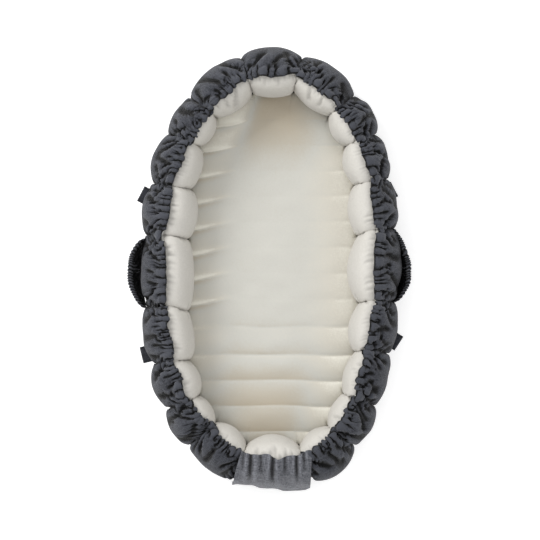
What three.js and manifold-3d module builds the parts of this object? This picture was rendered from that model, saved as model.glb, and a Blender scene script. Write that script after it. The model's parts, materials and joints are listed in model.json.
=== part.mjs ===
// Infant lounger: a soft oval nest. A stuffed bolster, drawn in at its seams into a ring of puffs,
// stands round a channel-quilted mattress. A grey outer cover wraps the bolster's outer half, and its
// top hem is gathered on elastic. Two ruched carrying handles, four sewn side loops and a flap over
// the hem's ends at the foot hang on the cover.
// Millimetres. +Z is up, +Y points to the head end, and the origin is on the floor below the middle.
import * as THREE from "three";
import { mergeVertices } from "three/addons/utils/BufferGeometryUtils.js";
import Module from "manifold-3d";

// Clearances
const seatGap = 0.3; // between pieces that lie face to face
const clothGap = 0.6; // between the cover and what it wraps
const cutOverrun = 5; // how far a cutting solid runs past what it cuts
const mergeDistance = 1e-4;

// Bolster
const bolsterLength = 844;
const bolsterWidth = 490;
const ovalPower = 2.35; // 2 is an ellipse, and more is squarer
const bolsterThickness = 94;
const bolsterTop = 138;
const widestHeight = 66; // height of the bolster's widest line
const restWidth = 46; // width of the flat that it rests on
const seamThickness = 60; // bolster thickness where a seam draws it in
const seamTop = 124;
const crownPower = 2.5; // how full a puff is between its seams
const footDraw = 15; // how far the flap's stitching draws the foot of the oval in
const footDrawReach = 65; // from the middle of the foot
// Places of the seams, as shares of the way from the middle of the head to the middle of the foot
const seamShares = [0.05, 0.159, 0.237, 0.325, 0.429, 0.572, 0.673, 0.768, 0.837, 0.931];
const puffStationShares = [-1, -0.72, -0.26, 0.26, 0.72, 1]; // of half a puff's length

// Outer cover
const baseThickness = 3;
const baseMargin = 28; // how far the base panel reaches past the bolster's centre line
const wallThickness = 1.6;
const wallSeamThickness = 68; // inside the cover, where a seam draws it in
const wallSeamTop = 129;

// Gathered hem and its elastic
const hemHeight = 8;
const ruffleDepth = 1.6;
const rufflePitch = 22;
const hemLip = 4; // how far the gathered edge overhangs inwards
const elasticWidth = 8;
const elasticThickness = 1.6;
const elasticTail = 8; // elastic that shows past each end of the hem
const boreClearance = 0.6;

// Mattress
const mattressThickness = 30;
const mattressCrown = 5;
const mattressMargin = 12.5; // how far its edge tucks in under the bolster's widest line
const channelPitch = 49;
const channelDepth = 3;
const channelEndPower = 8; // how near the mattress's edge a channel fades: more is nearer
const mattressEdgeRise = 14; // height of the mattress's widest line
const foamThickness = 18;
const mattressEndPower = 10; // how late the top drops towards the ends: more is later
const mattressAcrossShares = [-0.95, -0.8, -0.4, 0, 0.4, 0.8, 0.95]; // of half its width
const mattressAlongShares = [-0.998, -0.99, -0.965]; // the rings that round an end off
const mattressFootShare = 0.93; // of half its width, where its underside meets the base
const foamInset = 24;
const foamClearance = 0.5;
const coverSkin = 2;
const coverSlotWidth = 3;
const coverSlotLength = 180;
const coverSlotPlace = 190; // from the middle, towards the foot

// Handles
const handleHeight = 56;
const handleTop = 86; // height of the hinge line along the handle's upper edge
const handleReachTop = 32; // how far the upper edge stands out from its sewn ends
const handleReachLow = 14;
const handleRoll = 8; // thickness of the padded upper edge
const handleLowThickness = 4;
const handleWaistShare = 0.25; // how far down the padding tapers, of its height
const handleBulgePower = 0.6; // how soon it stands off its seams: less is sooner
const ruchePitch = 9;
const rucheDepth = 1.2;
const liningThickness = 0.8;
const liningMargin = 6; // band left bare above and below the lining
const handlePuff = "puff_right_5"; // a handle is sewn at the seams at both ends of this puff

// Side loops
const loopWidth = 32;
const loopLength = 17;
const loopPly = 1.3;
const loopSlit = 0.7;
const loopArcSteps = 6;
const loopHeight = 62;
const loopPlaces = [
  { end: "head", puff: "puff_right_4", stationShare: -0.72 },
  { end: "foot", puff: "puff_right_6", stationShare: 0.72 },
];

// Foot flap
const flapWidth = 148;
const flapThickness = 2.4;
const flapHang = 16; // straight length below the bolster's widest line
const flapStand = 12.5; // how far the middle of its lower edge stands off the cover
const pleatDepth = 3;
const pleatPitch = 46;
const flapColumns = 12;
const flapBandRows = 2; // rows of the flap that lie over the foot band

// Directions round the bolster's section, in degrees: 0 points outwards and 90 up
const restAngle = THREE.MathUtils.radToDeg(Math.acos(restWidth / bolsterThickness));
const wallAngles = [-restAngle, -30, 0, 26, 50, 69];
const hemInnerAngle = 93;
const puffAngles = [...wallAngles, hemInnerAngle, 120, 150, 180, 210, 180 + restAngle];
const flapAngles = [88, wallAngles.at(-1), 52, 35, 18, 0];

const charcoal = new THREE.MeshStandardMaterial({ color: 0x3d3f45, roughness: 0.95, metalness: 0 });
const darkLining = new THREE.MeshStandardMaterial({ color: 0x101014, roughness: 1, metalness: 0 });
const cream = new THREE.MeshStandardMaterial({ color: 0xe6e1d6, roughness: 0.9, metalness: 0 });
const elasticWhite = new THREE.MeshStandardMaterial({ color: 0xd8d8d4, roughness: 0.8, metalness: 0 });
const foam = new THREE.MeshStandardMaterial({ color: 0xefe6c8, roughness: 1, metalness: 0 });

const wasm = await Module();
wasm.setup();

const lerp = THREE.MathUtils.lerp;
const signedPower = (value, power) => Math.sign(value) * Math.abs(value) ** power;

// The oval centre line
const ovalHalfWidth = (bolsterWidth - bolsterThickness) / 2;
const ovalHalfLength = (bolsterLength - bolsterThickness) / 2;
const ovalSteps = 2000;
const halfOval = sampleHalfOval(ovalSteps);
const halfOvalLength = halfOval.at(-1).length;

// Points down the right half of the oval, from the head to the foot, with the length walked so far.
function sampleHalfOval(steps) {
  const points = [];
  let length = 0;
  for (let i = 0; i <= steps; i++) {
    const turn = (Math.PI * i) / steps;
    const x = ovalHalfWidth * signedPower(Math.sin(turn), 2 / ovalPower);
    const full = ovalHalfLength * signedPower(Math.cos(turn), 2 / ovalPower);
    const drawn = full < 0 ? footDraw * Math.max(0, 1 - (x / footDrawReach) ** 2) : 0;
    const y = full + drawn;
    if (i) length += Math.hypot(x - points[i - 1].x, y - points[i - 1].y);
    points.push({ x, y, length });
  }
  return points;
}

// Centre and outward normal of the oval at a share of its round: 0 is the middle of the head, 1 the
// middle of the foot by way of +X, and 2 the head again.
function ovalAt(share) {
  const wrapped = ((share % 2) + 2) % 2;
  const mirrored = wrapped > 1;
  const length = (mirrored ? 2 - wrapped : wrapped) * halfOvalLength;
  let i = Math.max(1, halfOval.findIndex((p) => p.length >= length));
  const a = halfOval[i - 1];
  const b = halfOval[i];
  const step = (length - a.length) / (b.length - a.length);
  const x = lerp(a.x, b.x, step);
  const y = lerp(a.y, b.y, step);
  const gradient = new THREE.Vector2(
    signedPower(x / ovalHalfWidth, ovalPower - 1) / ovalHalfWidth,
    signedPower(y / ovalHalfLength, ovalPower - 1) / ovalHalfLength,
  ).normalize();
  const side = mirrored ? -1 : 1;
  return { x: x * side, y, nx: gradient.x * side, ny: gradient.y };
}

// The ring of puffs: each has a middle and a half length, as shares of the oval.
const puffs = listPuffs();

function listPuffs() {
  const seams = [...seamShares, ...seamShares.map((share) => 2 - share).reverse()];
  const last = seamShares.length;
  return seams.map((seam, i) => {
    const from = i ? seams[i - 1] : seams.at(-1) - 2;
    let name = i < last ? `puff_right_${i}` : `puff_left_${2 * last - i}`;
    if (i === 0) name = "puff_head";
    if (i === last) name = "puff_foot";
    return { name, middle: (from + seam) / 2, half: (seam - from) / 2 };
  });
}

// How far a puff has swelled at a place from -1 to 1 between its seams, from 0 to 1.
const swell = (place) => Math.sqrt(Math.max(0, 1 - Math.abs(place) ** crownPower));

// A point of the section, moved off its surface by an offset: r is outwards and z is up.
function sectionPoint(angle, thickness, top, offset) {
  const turn = THREE.MathUtils.degToRad(angle);
  const floor = baseThickness + seatGap;
  const under = (widestHeight - floor) / Math.sin(THREE.MathUtils.degToRad(restAngle));
  const rise = Math.sin(turn) > 0 ? top - widestHeight : under;
  const half = thickness / 2;
  // the foot of the section moves straight out, so that a skin keeps its thickness there
  if (angle === -restAngle) return { r: half * Math.cos(turn) + offset, z: floor };
  const normal = new THREE.Vector2(Math.cos(turn) * rise, Math.sin(turn) * half).normalize();
  const r = half * Math.cos(turn) + offset * normal.x;
  const z = widestHeight + rise * Math.sin(turn) + offset * normal.y;
  return { r, z: Math.max(z, floor) };
}

const inSpace = (frame, { r, z }) => new THREE.Vector3(frame.x + r * frame.nx, frame.y + r * frame.ny, z);

// Rings of points, joined into one closed surface. Both ends are capped by strips across the ring.
function loft(rings) {
  const size = rings[0].length;
  const positions = rings.flatMap((ring) => ring.flatMap((p) => [p.x, p.y, p.z]));
  const triangles = [];
  const quad = (a, b, c, d) => triangles.push(a, b, c, a, c, d);
  for (let i = 0; i + 1 < rings.length; i++)
    for (let j = 0; j < size; j++) {
      const next = (j + 1) % size;
      quad(i * size + j, i * size + next, (i + 1) * size + next, (i + 1) * size + j);
    }
  const end = (rings.length - 1) * size;
  for (let j = 0; j + 1 < size / 2; j++) {
    const far = size - 1 - j;
    if (far - 1 === j + 1) {
      triangles.push(j, far, j + 1, end + j, end + j + 1, end + far);
      continue;
    }
    quad(j, far, far - 1, j + 1);
    quad(end + j, end + j + 1, end + far - 1, end + far);
  }
  return facingOut(positions, triangles);
}

// A BufferGeometry of those triangles, all turned round if they enclose a negative volume.
function facingOut(positions, triangles) {
  const at = (i) => new THREE.Vector3().fromArray(positions, 3 * i);
  let volume = 0;
  for (let i = 0; i < triangles.length; i += 3)
    volume += at(triangles[i]).dot(at(triangles[i + 1]).cross(at(triangles[i + 2])));
  const turned = volume < 0 ? [...triangles].reverse() : triangles;
  const geometry = new THREE.BufferGeometry();
  geometry.setAttribute("position", new THREE.Float32BufferAttribute(positions, 3));
  geometry.setIndex(turned);
  return geometry;
}

function toSolid(geometry) {
  const bare = geometry.clone();
  bare.deleteAttribute("normal");
  bare.deleteAttribute("uv");
  const merged = mergeVertices(bare, mergeDistance);
  return new wasm.Manifold(
    new wasm.Mesh({
      numProp: 3,
      vertProperties: merged.attributes.position.array,
      triVerts: new Uint32Array(merged.index.array),
    }),
  );
}

function toGeometry(solid) {
  const { vertProperties, triVerts } = solid.getMesh();
  const geometry = new THREE.BufferGeometry();
  geometry.setAttribute("position", new THREE.BufferAttribute(vertProperties, 3));
  geometry.setIndex(new THREE.BufferAttribute(triVerts, 1));
  return geometry;
}

function mesh(name, geometry, material) {
  geometry.computeVertexNormals();
  const made = new THREE.Mesh(geometry, material);
  made.name = name;
  return made;
}

// Pieces that turn about a pivot, modelled in the lounger's frame and hung in a group at the pivot.
function onPivot(name, pivot, pieces) {
  const group = new THREE.Group();
  group.name = name;
  group.position.copy(pivot);
  for (const piece of pieces) {
    piece.geometry.translate(-pivot.x, -pivot.y, -pivot.z);
    group.add(piece);
  }
  return group;
}

// Bolster: one stuffed puff between two seams
function puffGeometry(puff) {
  const inset = seatGap / 2 / halfOvalLength / puff.half;
  const rings = puffStationShares.map((place) => {
    const frame = ovalAt(puff.middle + puff.half * place * (Math.abs(place) === 1 ? 1 - inset : 1));
    const thickness = lerp(seamThickness, bolsterThickness, swell(place));
    const top = lerp(seamTop, bolsterTop, swell(place));
    return puffAngles.map((angle) => inSpace(frame, sectionPoint(angle, thickness, top, 0)));
  });
  return loft(rings);
}

// Stations along the cover, as shares of the oval: a puff's own ones, with each seam counted once
const coverStations = puffs.flatMap((puff, i) =>
  puffStationShares
    .slice(i ? 1 : 0)
    .map((place) => ({ share: puff.middle + puff.half * place, swelled: swell(place) })),
);

// The shares of the stations between two places, with the two places themselves.
function coverShares(start, end) {
  const near = seatGap / halfOvalLength;
  const laps = coverStations.slice(1).flatMap(({ share }) => [share, share + 2]);
  const inside = laps.filter((share) => share > start + near && share < end - near);
  return [start, ...inside.sort((a, b) => a - b), end];
}

// A point of the cover, found on the straight line between two stations.
function coverPoint(share, angle, offset) {
  const along = share > coverStations.at(-1).share ? share - 2 : share;
  const next = Math.max(1, coverStations.findIndex((station) => station.share >= along));
  const pair = [coverStations[next - 1], coverStations[next]];
  const [from, to] = pair.map((station) => {
    const thickness = lerp(wallSeamThickness, bolsterThickness, station.swelled);
    const top = lerp(wallSeamTop, bolsterTop, station.swelled);
    return inSpace(ovalAt(station.share), sectionPoint(angle, thickness, top, offset));
  });
  return from.lerp(to, (along - pair[0].share) / (pair[1].share - pair[0].share));
}

function outwardAt(share) {
  const { nx, ny } = ovalAt(share);
  return new THREE.Vector3(nx, ny, 0);
}

// Cover: the wall round the bolster's outer half, from the head to the foot on one side
function wallGeometry(side) {
  const end = seatGap / 2 / halfOvalLength;
  return loft(
    coverShares(end, 1 - end).map((down) => {
      const share = side > 0 ? down : 2 - down;
      const skin = (offset) => wallAngles.map((angle) => coverPoint(share, angle, offset));
      return [...skin(clothGap + wallThickness), ...skin(clothGap).reverse()];
    }),
  );
}

// The hem runs from the seam left of the foot, round the head, to the seam right of the foot.
const hemStart = 2 - seamShares.at(-1);
const hemEnd = 2 + seamShares.at(-1);
const seamStitch = THREE.MathUtils.radToDeg((2 * seatGap) / (bolsterTop - widestHeight));
const hemOuterAngle = wallAngles.at(-1) + seamStitch;
const hemMiddleAngle = (hemOuterAngle + hemInnerAngle) / 2;

function hemSection(share, puffed) {
  const lip = coverPoint(share, hemInnerAngle, hemHeight / 2);
  lip.addScaledVector(outwardAt(share), puffed - hemLip);
  return [
    coverPoint(share, hemOuterAngle, clothGap),
    coverPoint(share, hemInnerAngle, clothGap),
    lip,
    coverPoint(share, hemMiddleAngle, hemHeight + puffed),
    coverPoint(share, hemOuterAngle, hemHeight - ruffleDepth + puffed),
  ];
}

// Gathered hem: a ruffled casing, open at both ends, with a bore for the elastic
function hemGeometry() {
  const stations = coverShares(hemStart, hemEnd);
  const rings = [];
  for (let i = 1; i < stations.length; i++) {
    const length = (stations[i] - stations[i - 1]) * halfOvalLength;
    const steps = 2 * Math.max(1, Math.round(length / rufflePitch));
    for (let j = 0; j < steps; j++)
      rings.push(hemSection(lerp(stations[i - 1], stations[i], j / steps), j % 2 ? ruffleDepth : 0));
  }
  rings.push(hemSection(hemEnd, 0));
  const bore = elasticGeometry(boreClearance, cutOverrun);
  return toGeometry(toSolid(loft(rings)).subtract(toSolid(bore)));
}

// A flat band along the middle of the hem, grown by a clearance and run past each end by an overrun.
function elasticGeometry(clearance, overrun) {
  const past = overrun / halfOvalLength;
  const halfWidth = elasticWidth / 2 + clearance;
  const halfThickness = elasticThickness / 2 + clearance;
  return loft(
    coverShares(hemStart - past, hemEnd + past).map((share) => {
      const middle = coverPoint(share, hemMiddleAngle, hemHeight / 2);
      const corner = (r, z) =>
        middle.clone().addScaledVector(outwardAt(share), r).add(new THREE.Vector3(0, 0, z));
      return [
        corner(halfWidth, halfThickness),
        corner(-halfWidth, halfThickness),
        corner(-halfWidth, -halfThickness),
        corner(halfWidth, -halfThickness),
      ];
    }),
  );
}

// Foot band: the hem's plain stretch between its gathered ends, where the flap is sewn
function footBandGeometry() {
  const gap = (elasticTail + seatGap) / halfOvalLength;
  return loft(
    coverShares(hemEnd - 2 + gap, hemStart - gap).map((share) => [
      coverPoint(share, hemOuterAngle, clothGap),
      coverPoint(share, hemInnerAngle, clothGap),
      coverPoint(share, hemInnerAngle, hemHeight + ruffleDepth),
      coverPoint(share, hemOuterAngle, hemHeight + ruffleDepth),
    ]),
  );
}

// An oval plate, offset from the bolster's centre line.
function ovalPlate(offset, bottom, thickness) {
  const outline = coverStations.slice(1).map(({ share }) => {
    const { x, y, nx, ny } = ovalAt(share);
    return new THREE.Vector2(x + offset * nx, y + offset * ny);
  });
  const options = { depth: thickness, bevelEnabled: false };
  return new THREE.ExtrudeGeometry(new THREE.Shape(outline), options).translate(0, 0, bottom);
}

// Mattress: sections across the width, stepped along the length, with a sewn channel every pitch
const mattressFloor = baseThickness + seatGap;
const mattressEdge = -bolsterThickness / 2 + mattressMargin;

function mattressGeometry() {
  const halfWidth = ovalHalfWidth + mattressEdge;
  const headLength = ovalHalfLength + mattressEdge;
  const footLength = headLength - footDraw;
  const section = (y, sewn) => {
    const along = y / (y < 0 ? footLength : headLength);
    const half = halfWidth * (1 - Math.abs(along) ** ovalPower) ** (1 / ovalPower);
    const fullness = Math.sqrt(1 - along ** mattressEndPower);
    const shoulder = lerp(mattressEdgeRise, mattressThickness - mattressCrown, fullness);
    const depth = sewn ? channelDepth : 0;
    const point = (share, height) => new THREE.Vector3(share * half, y, mattressFloor + height);
    const upper = mattressAcrossShares.map((share) => {
      const crown = mattressCrown * fullness * (1 - share ** 2);
      return point(share, shoulder + crown - depth * (1 - share ** channelEndPower));
    });
    const underside = lerp(mattressEdgeRise, 0, fullness);
    const lower = [mattressFootShare, -mattressFootShare].map((share) => point(share, underside));
    return [...upper, point(1, mattressEdgeRise), ...lower, point(-1, mattressEdgeRise)];
  };
  const ends = mattressAlongShares.flatMap((share) => [share * footLength, -share * headLength]);
  const footLimit = mattressAlongShares.at(-1) * footLength;
  const headLimit = -mattressAlongShares.at(-1) * headLength;
  const sewnLines = [];
  for (let i = Math.ceil(footLimit / channelPitch); i * channelPitch < headLimit; i++)
    sewnLines.push(i * channelPitch);
  const crests = sewnLines.slice(1).map((line) => line - channelPitch / 2);
  const lines = [...ends, ...sewnLines, ...crests].sort((a, b) => a - b);
  return loft(lines.map((y) => section(y, sewnLines.includes(y))));
}

function mattressParts() {
  const foamOffset = mattressEdge - foamInset;
  const foamFloor = mattressFloor + coverSkin + foamClearance;
  const core = ovalPlate(foamOffset, foamFloor, foamThickness);
  const hollow = ovalPlate(
    foamOffset + foamClearance,
    mattressFloor + coverSkin,
    foamThickness + 2 * foamClearance,
  );
  const slotMiddle = mattressFloor + seatGap + (coverSkin - cutOverrun) / 2;
  const slot = new THREE.BoxGeometry(coverSlotLength, coverSlotWidth, coverSkin + cutOverrun);
  slot.translate(0, -coverSlotPlace, slotMiddle);
  const skin = toSolid(mattressGeometry()).subtract(toSolid(hollow)).subtract(toSolid(slot));
  return [mesh("mattress_cover", toGeometry(skin), cream), mesh("mattress_foam_core", core, foam)];
}

// Where the wall's outer face is at a puff's station, at the bolster's widest line
function wallFace(puff, station, side) {
  const place = puffStationShares[station];
  const share = puff.middle + puff.half * place;
  const thickness = lerp(wallSeamThickness, bolsterThickness, swell(place));
  const point = sectionPoint(0, thickness, bolsterTop, clothGap + wallThickness);
  return inSpace(ovalAt(side > 0 ? share : 2 - share), point);
}

// Handle: a ruched band between two seams, padded along its upper edge and leaning on the cover below
function handleParts(side) {
  const name = side > 0 ? "handle_right" : "handle_left";
  const held = puffs.find((puff) => puff.name === handlePuff);
  const start = wallFace(held, 0, side);
  const finish = wallFace(held, puffStationShares.length - 1, side);
  const root = Math.max(Math.abs(start.x), Math.abs(finish.x)) + seatGap + handleLowThickness / 2;
  const steps = 2 * Math.round(Math.abs(start.y - finish.y) / ruchePitch);
  const bulge = (share) => Math.sin(Math.PI * share) ** handleBulgePower;
  const at = (share, drop, off) => {
    const reach = bulge(share) * lerp(handleReachTop, handleReachLow, drop);
    const z = handleTop - drop * handleHeight;
    return new THREE.Vector3(side * (root + reach + off), lerp(start.y, finish.y, share), z);
  };
  const shares = Array.from({ length: steps + 1 }, (_, i) => i / steps);
  const band = shares.map((share, i) => {
    const rib = i % 2 ? rucheDepth : 0;
    const roll = lerp(handleLowThickness, handleRoll, bulge(share)) / 2;
    const crest = at(share, 0, 0);
    crest.z += roll + rib;
    return [
      crest,
      at(share, 0, roll - rucheDepth + rib),
      at(share, handleWaistShare, handleLowThickness / 2 + rib),
      at(share, 1, handleLowThickness / 2 + rib),
      at(share, 1, -handleLowThickness / 2),
      at(share, handleWaistShare, -handleLowThickness / 2),
      at(share, 0, -roll),
    ];
  });
  const face = -handleLowThickness / 2 - clothGap;
  const upper = handleWaistShare + liningMargin / handleHeight;
  const lower = 1 - liningMargin / handleHeight;
  const lining = shares
    .slice(2, -2)
    .map((share) => [
      at(share, lower, face),
      at(share, upper, face),
      at(share, upper, face - liningThickness),
      at(share, lower, face - liningThickness),
    ]);
  const pivot = new THREE.Vector3(side * root, (start.y + finish.y) / 2, handleTop);
  return onPivot(name, pivot, [
    mesh(`${name}_band`, loft(band), charcoal),
    mesh(`${name}_lining`, loft(lining), darkLining),
  ]);
}

// Side loop: a strip folded in two and sewn at its base, which turns about that stitching
function loopParts(side, { end, puff, stationShare }) {
  const name = `loop_${end}_${side > 0 ? "right" : "left"}`;
  const carrier = puffs.find((each) => each.name === puff);
  const station = puffStationShares.indexOf(stationShare);
  const face = wallFace(carrier, station, side);
  const before = wallFace(carrier, station - 1, side);
  const after = wallFace(carrier, station + 1, side);
  const along = after.sub(before).setZ(0).normalize();
  const outward = new THREE.Vector3(along.y, -along.x, 0);
  if (outward.x * side < 0) outward.negate();
  const ring = (radius) => {
    const path = new THREE.Path();
    path.absarc(0, 0, radius, Math.PI / 2, (3 * Math.PI) / 2, false);
    path.absarc(loopLength - loopPly - loopSlit, 0, radius, -Math.PI / 2, Math.PI / 2, false);
    return path.getPoints(loopArcSteps);
  };
  const profile = new THREE.Shape(ring(loopPly + loopSlit / 2));
  profile.holes.push(new THREE.Path(ring(loopSlit / 2)));
  const options = { depth: loopWidth, bevelEnabled: false };
  const geometry = new THREE.ExtrudeGeometry(profile, options).translate(0, 0, -loopWidth / 2);
  const up = new THREE.Vector3(0, 0, 1);
  geometry.applyMatrix4(new THREE.Matrix4().makeBasis(outward, up, outward.clone().cross(up)));
  const root = face.setZ(loopHeight).addScaledVector(outward, seatGap + loopPly + loopSlit / 2);
  geometry.translate(root.x, root.y, root.z);
  return onPivot(name, root, [mesh(`${name}_strip`, geometry, charcoal)]);
}

// Foot flap: sewn to the foot band along its upper edge, pleated there, and hanging free below
function flapParts() {
  const foot = ovalAt(1);
  const overBand = hemHeight + ruffleDepth + clothGap;
  const overWall = 2 * clothGap + wallThickness;
  const section = (x) => {
    const share = (2 * x) / flapWidth;
    const pleat = (pleatDepth * (1 - Math.cos((2 * Math.PI * x) / pleatPitch))) / 2;
    const stand = flapStand * (1 - share ** 2);
    const skin = (thickness) => {
      const rows = flapAngles.map((angle, row) => {
        const fall = row / (flapAngles.length - 1);
        const lift = row < flapBandRows ? overBand : overWall;
        const pleated = pleat * Math.sin(Math.PI * fall);
        return sectionPoint(angle, bolsterThickness, bolsterTop, lift + pleated + thickness);
      });
      rows.push({ r: rows.at(-1).r, z: widestHeight - flapHang });
      return rows.map(({ r, z }, row) => {
        const fall = row / (rows.length - 1);
        return new THREE.Vector3(x, foot.y - r - stand * fall ** 2, z);
      });
    };
    return [...skin(flapThickness), ...skin(0).reverse()];
  };
  const columns = Array.from({ length: flapColumns + 1 }, (_, i) => i / flapColumns);
  const sections = columns.map((share) => section(lerp(-flapWidth, flapWidth, share) / 2));
  const seam = sectionPoint(flapAngles[0], bolsterThickness, bolsterTop, overBand + flapThickness / 2);
  const pivot = new THREE.Vector3(0, foot.y - seam.r, seam.z);
  return onPivot("foot_flap", pivot, [mesh("foot_flap_panel", loft(sections), charcoal)]);
}

const lounger = new THREE.Group();
lounger.add(mesh("cover_base", ovalPlate(baseMargin, 0, baseThickness), charcoal));
lounger.add(mesh("cover_wall_right", wallGeometry(1), charcoal));
lounger.add(mesh("cover_wall_left", wallGeometry(-1), charcoal));
lounger.add(mesh("hem_casing", hemGeometry(), charcoal));
lounger.add(mesh("hem_elastic", elasticGeometry(0, elasticTail), elasticWhite));
lounger.add(mesh("foot_band", footBandGeometry(), charcoal));
for (const puff of puffs) lounger.add(mesh(puff.name, puffGeometry(puff), cream));
for (const piece of mattressParts()) lounger.add(piece);
for (const side of [1, -1]) {
  lounger.add(handleParts(side));
  for (const place of loopPlaces) lounger.add(loopParts(side, place));
}
lounger.add(flapParts());

// The flap makes the foot end longer than the head end, so the whole is moved to stand over the origin.
const middle = new THREE.Box3().setFromObject(lounger).getCenter(new THREE.Vector3());
lounger.position.set(0, -middle.y, 0);

const part = new THREE.Group();
part.add(lounger);

export default part;
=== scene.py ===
# Infant lounger, dressed: a puffed cream bolster in a gathered charcoal cover, round a channelled mattress.
# Metres. +Z is up, +Y points to the head end, and +X is the right side of the picture.
import json
import math
import bmesh
import bpy
import numpy as np
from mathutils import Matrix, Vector


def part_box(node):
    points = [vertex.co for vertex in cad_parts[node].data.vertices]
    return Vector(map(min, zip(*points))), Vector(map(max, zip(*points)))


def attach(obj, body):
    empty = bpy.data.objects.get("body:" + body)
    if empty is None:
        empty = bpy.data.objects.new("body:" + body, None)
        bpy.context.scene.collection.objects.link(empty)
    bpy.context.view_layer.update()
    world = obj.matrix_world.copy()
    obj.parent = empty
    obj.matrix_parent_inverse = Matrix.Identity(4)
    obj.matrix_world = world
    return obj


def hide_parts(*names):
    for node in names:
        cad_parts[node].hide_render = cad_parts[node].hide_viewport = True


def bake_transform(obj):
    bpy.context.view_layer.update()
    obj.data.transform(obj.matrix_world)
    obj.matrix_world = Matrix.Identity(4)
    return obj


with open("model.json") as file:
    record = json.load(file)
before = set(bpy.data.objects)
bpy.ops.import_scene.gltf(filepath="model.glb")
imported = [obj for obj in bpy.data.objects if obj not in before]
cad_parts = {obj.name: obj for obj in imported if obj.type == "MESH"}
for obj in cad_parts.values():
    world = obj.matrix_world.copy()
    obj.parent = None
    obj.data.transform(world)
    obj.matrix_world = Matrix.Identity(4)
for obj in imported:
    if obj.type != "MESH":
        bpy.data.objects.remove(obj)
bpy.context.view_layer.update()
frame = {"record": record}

MM = 0.001
TAU = 2 * math.pi
SEED = 11

# Bolster, as the CAD model has it
OVAL_POWER = 2.35
BOLSTER_THICKNESS = 94 * MM
BOLSTER_TOP = 138 * MM
WIDEST_HEIGHT = 66 * MM
REST_WIDTH = 46 * MM
FLOOR = 3.3 * MM
SEAM_TOP = 124 * MM
CROWN_POWER = 2.5
OUTER_POWER = 0.62
INNER_POWER_RIGHT = 0.92
INNER_POWER_LEFT = 0.58
OUTER_ROUNDNESS = 0.6
FOOT_DRAW = 15 * MM
FOOT_DRAW_REACH = 65 * MM
SEAM_SHARES_RIGHT = [0.048, 0.158, 0.236, 0.322, 0.42, 0.563, 0.664, 0.766, 0.846, 0.934]
SEAM_SHARES_LEFT = [0.053, 0.16, 0.235, 0.33, 0.43, 0.573, 0.685, 0.77, 0.843, 0.936]
HEAD_LEAN = 7 * MM
FOOT_LEAN = 5 * MM
LEAN_REACH = 400 * MM
OVAL_HALF_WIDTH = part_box("puff_right_5")[1].x - BOLSTER_THICKNESS / 2
OVAL_HALF_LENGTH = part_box("cover_wall_right")[1].y - BOLSTER_THICKNESS / 2 - 2.2 * MM
REST_ANGLE = math.acos(REST_WIDTH / BOLSTER_THICKNESS)

# Seams and puffs in order round the bolster: head, down the right side, foot, up the left side
NOTCH_DEPTHS = np.array([19, 20, 18, 17, 15, 15, 17, 18, 19, 16, 16, 19, 18, 21, 15, 15, 17, 23, 23, 19]) * MM
CORNER_REACH = np.array([23, 20, 16, 20, 25, 22, 20, 22, 18, 24, 24, 18, 15, 18, 34, 34, 27, 17, 17, 24]) * MM
CREST_REACH = np.array([41, 39, 35, 36, 42, 48, 41, 35, 34, 39, 43, 46, 35, 37, 43, 50, 52, 43, 38, 45]) * MM
PUFF_SHIFT = np.array([
    1, -5.5, 2.5, 0, 0, 0, -2.5, -5, -1, 4.5, 0, -6.5, 3.5, 1.5, 0, -6, 0, -1, -7.5, -5,
]) * MM
# how far the seams' inner ends lie along the round from their outer ends
SEAM_LEAN = np.array([2, 0, 0, 0, 11, 8, 12, 0, 2, 0, 0, 2, 0, -8, -12, -5, 0, 0, 0, 2]) * MM
HEM_AT_SEAMS = np.array([-1, -6, 4, 5, 4, 1, -4, -7, -7, -12, -14, -17, -2, 0, 2, 3, 2, -7, -11, -5]) * MM

# Cover
COVER_COLUMNS = 1600
CASING_ROWS = 7
WALL_ROWS = 56
CASING_WIDTH = 11 * MM
CASING_LIFT = 4.2 * MM
COVER_LIFT = 1.6 * MM
GATHER_PITCH_RIGHT = 12 * MM
GATHER_PITCH_LEFT = 9.5 * MM
COVER_STEPS = 110
PUFF_STEPS = 70
SOLVER_ROUNDS = 3
SPEED_KEPT = 0.88
# share of the steps over which the cloth grows to the length that it was cut to
EASE_SHARE = 0.45


def smooth(x, low, high):
    t = np.clip((x - low) / (high - low), 0, 1)
    return t * t * (3 - 2 * t)


def fall(x, low, high):
    """From 1 at low to 0 at high, where smooth rises."""
    return 1.0 - smooth(x, low, high)


def mix(a, b, t):
    return a + (b - a) * t


def stack(*parts):
    return np.stack(parts, axis=-1)


def signed_power(value, power):
    return np.sign(value) * np.abs(value) ** power


# The oval centre line, walked from the middle of the head to the middle of the foot by way of +X.
OVAL_STEPS = 4000
oval_turn = np.linspace(0, math.pi, OVAL_STEPS)
oval_x = OVAL_HALF_WIDTH * signed_power(np.sin(oval_turn), 2 / OVAL_POWER)
oval_y = OVAL_HALF_LENGTH * signed_power(np.cos(oval_turn), 2 / OVAL_POWER)
oval_y = oval_y + np.where(oval_y < 0, FOOT_DRAW * np.maximum(0, 1 - (oval_x / FOOT_DRAW_REACH) ** 2), 0)
oval_walk = np.concatenate([[0], np.cumsum(np.hypot(np.diff(oval_x), np.diff(oval_y)))])
HALF_ROUND = oval_walk[-1]
ROUND = 2 * HALF_ROUND


def lean(y):
    """The plan leans to the right at both ends."""
    return np.where(y > 0, HEAD_LEAN, FOOT_LEAN) * (y / LEAN_REACH) ** 2


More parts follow.
